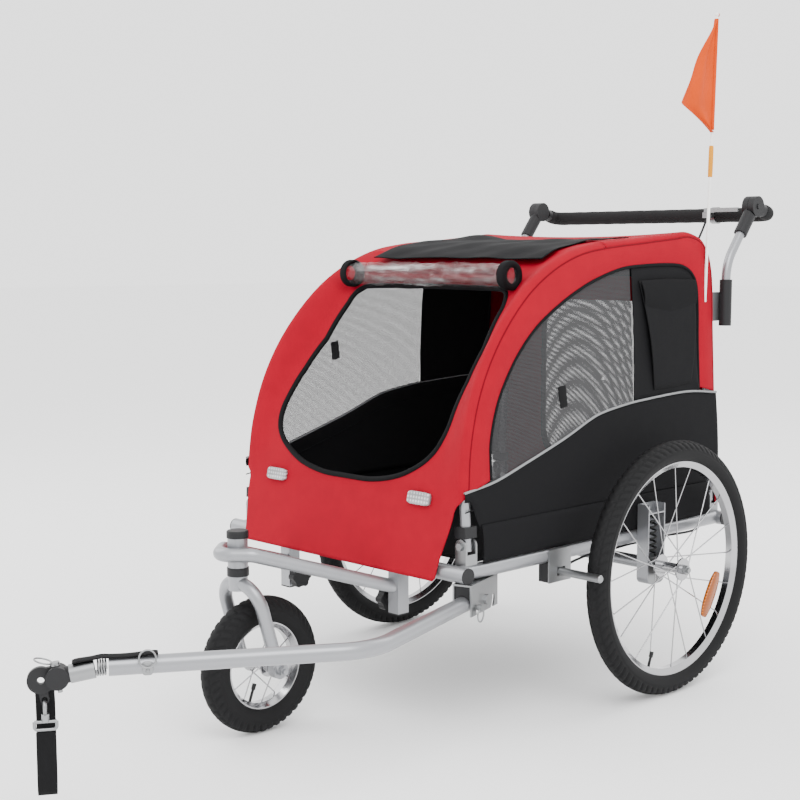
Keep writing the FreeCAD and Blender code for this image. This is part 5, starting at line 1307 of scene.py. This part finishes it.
class TRAILER_OT_finishes(bpy.types.Operator):
    """Finishes on the hard pieces"""

    bl_idname = "trailer.finishes"
    bl_label = "Finishes"

    def execute(self, context):
        make_finishes(context.scene.trailer_colours)
        slots = {part["node"]: part["material_slot"] for part in frame["record"]["subparts"]}
        for node, piece in frame["nodes"].items():
            piece.data.materials.clear()
            piece.data.materials.append(FINISHES[slots[node]])
        return {"FINISHED"}


FLOOR_CORNERS = ((-30, -30, 0), (30, -30, 0), (30, 30, 0), (-30, 30, 0))
LIGHT_AIM = (0, -0.2, 0.5)
BACKGROUND_STRENGTH = 2.2

# Area lights: (name, place, power, width)
LIGHTS = (
    ("key", (2.2, -1.8, 3.2), 90, 2.4),
    ("fill", (-2.6, -1.4, 2.4), 40, 2.6),
    ("back", (0.4, 3.0, 3.4), 50, 2.6),
)


class TRAILER_OT_stage(bpy.types.Operator):
    """Pale floor, soft studio light and the photograph's camera"""

    bl_idname = "trailer.stage"
    bl_label = "Stage"

    def execute(self, context):
        scene = context.scene
        Finish("studio_floor").set(Base_Color=(0.96, 0.96, 0.96, 1), Roughness=0.95)
        ground = mesh_object("studio_floor", np.array(FLOOR_CORNERS, float), np.array(((0, 1, 2, 3),)))
        ground.data.materials.append(FINISHES["studio_floor"])
        world = bpy.data.worlds.new("studio")
        world.use_nodes = True
        background = world.node_tree.nodes["Background"]
        background.inputs["Color"].default_value = (1, 1, 1, 1)
        background.inputs["Strength"].default_value = BACKGROUND_STRENGTH
        scene.world = world
        for name, place, power, width in LIGHTS:
            light = bpy.data.lights.new(name, "AREA")
            light.energy = power
            light.size = width
            lamp = bpy.data.objects.new(name, light)
            lamp.location = row(place)
            aim = Vector(row(LIGHT_AIM)) - lamp.location
            lamp.rotation_euler = aim.to_track_quat("-Z", "Y").to_euler()
            scene.collection.objects.link(lamp)
        camera = bpy.data.cameras.new("photo_camera")
        camera.sensor_width = SENSOR_WIDTH
        camera.lens = CAMERA_FOCAL_PIXELS / PICTURE_PIXELS * SENSOR_WIDTH
        camera.shift_x = (PICTURE_PIXELS / 2 - CAMERA_CENTRE_PIXELS[0]) / PICTURE_PIXELS
        camera.shift_y = (CAMERA_CENTRE_PIXELS[1] - PICTURE_PIXELS / 2) / PICTURE_PIXELS
        camera.clip_end = 100
        holder = bpy.data.objects.new("photo_camera", camera)
        holder.location = row(CAMERA_PLACE)
        look = Vector((-math.sin(CAMERA_AZIMUTH) * math.cos(CAMERA_ELEVATION),
                       math.cos(CAMERA_AZIMUTH) * math.cos(CAMERA_ELEVATION), -math.sin(CAMERA_ELEVATION)))
        holder.rotation_euler = look.to_track_quat("-Z", "Y").to_euler()
        scene.collection.objects.link(holder)
        scene.camera = holder
        return {"FINISHED"}


STEPS = (
    TRAILER_OT_finishes, TRAILER_OT_stage, TRAILER_OT_cords, TRAILER_OT_front, TRAILER_OT_roof,
    TRAILER_OT_sides, TRAILER_OT_floor, TRAILER_OT_door_roll, TRAILER_OT_tyres, TRAILER_OT_springs,
    TRAILER_OT_grip, TRAILER_OT_flag,
)


class TRAILER_PT_panel(bpy.types.Panel):
    """Lists the trailer's pieces"""

    bl_idname = "TRAILER_PT_panel"
    bl_label = "Dog bike trailer"
    bl_space_type = "VIEW_3D"
    bl_region_type = "UI"
    bl_category = "Trailer"

    def draw(self, context):
        for step in STEPS:
            self.layout.operator(step.bl_idname)


CLASSES = (TrailerColours, TrailerSizes, *STEPS, TRAILER_PT_panel)


def register():
    for each in CLASSES:
        bpy.utils.register_class(each)
    bpy.types.Scene.trailer_colours = PointerProperty(type=TrailerColours)
    bpy.types.Scene.trailer_sizes = PointerProperty(type=TrailerSizes)


def unregister():
    del bpy.types.Scene.trailer_sizes
    del bpy.types.Scene.trailer_colours
    for each in reversed(CLASSES):
        bpy.utils.unregister_class(each)


def main():
    register()
    for step in STEPS:
        group, name = step.bl_idname.split(".")
        getattr(getattr(bpy.ops, group), name)()
    bpy.context.view_layer.update()


if __name__ == "__main__":
    main()
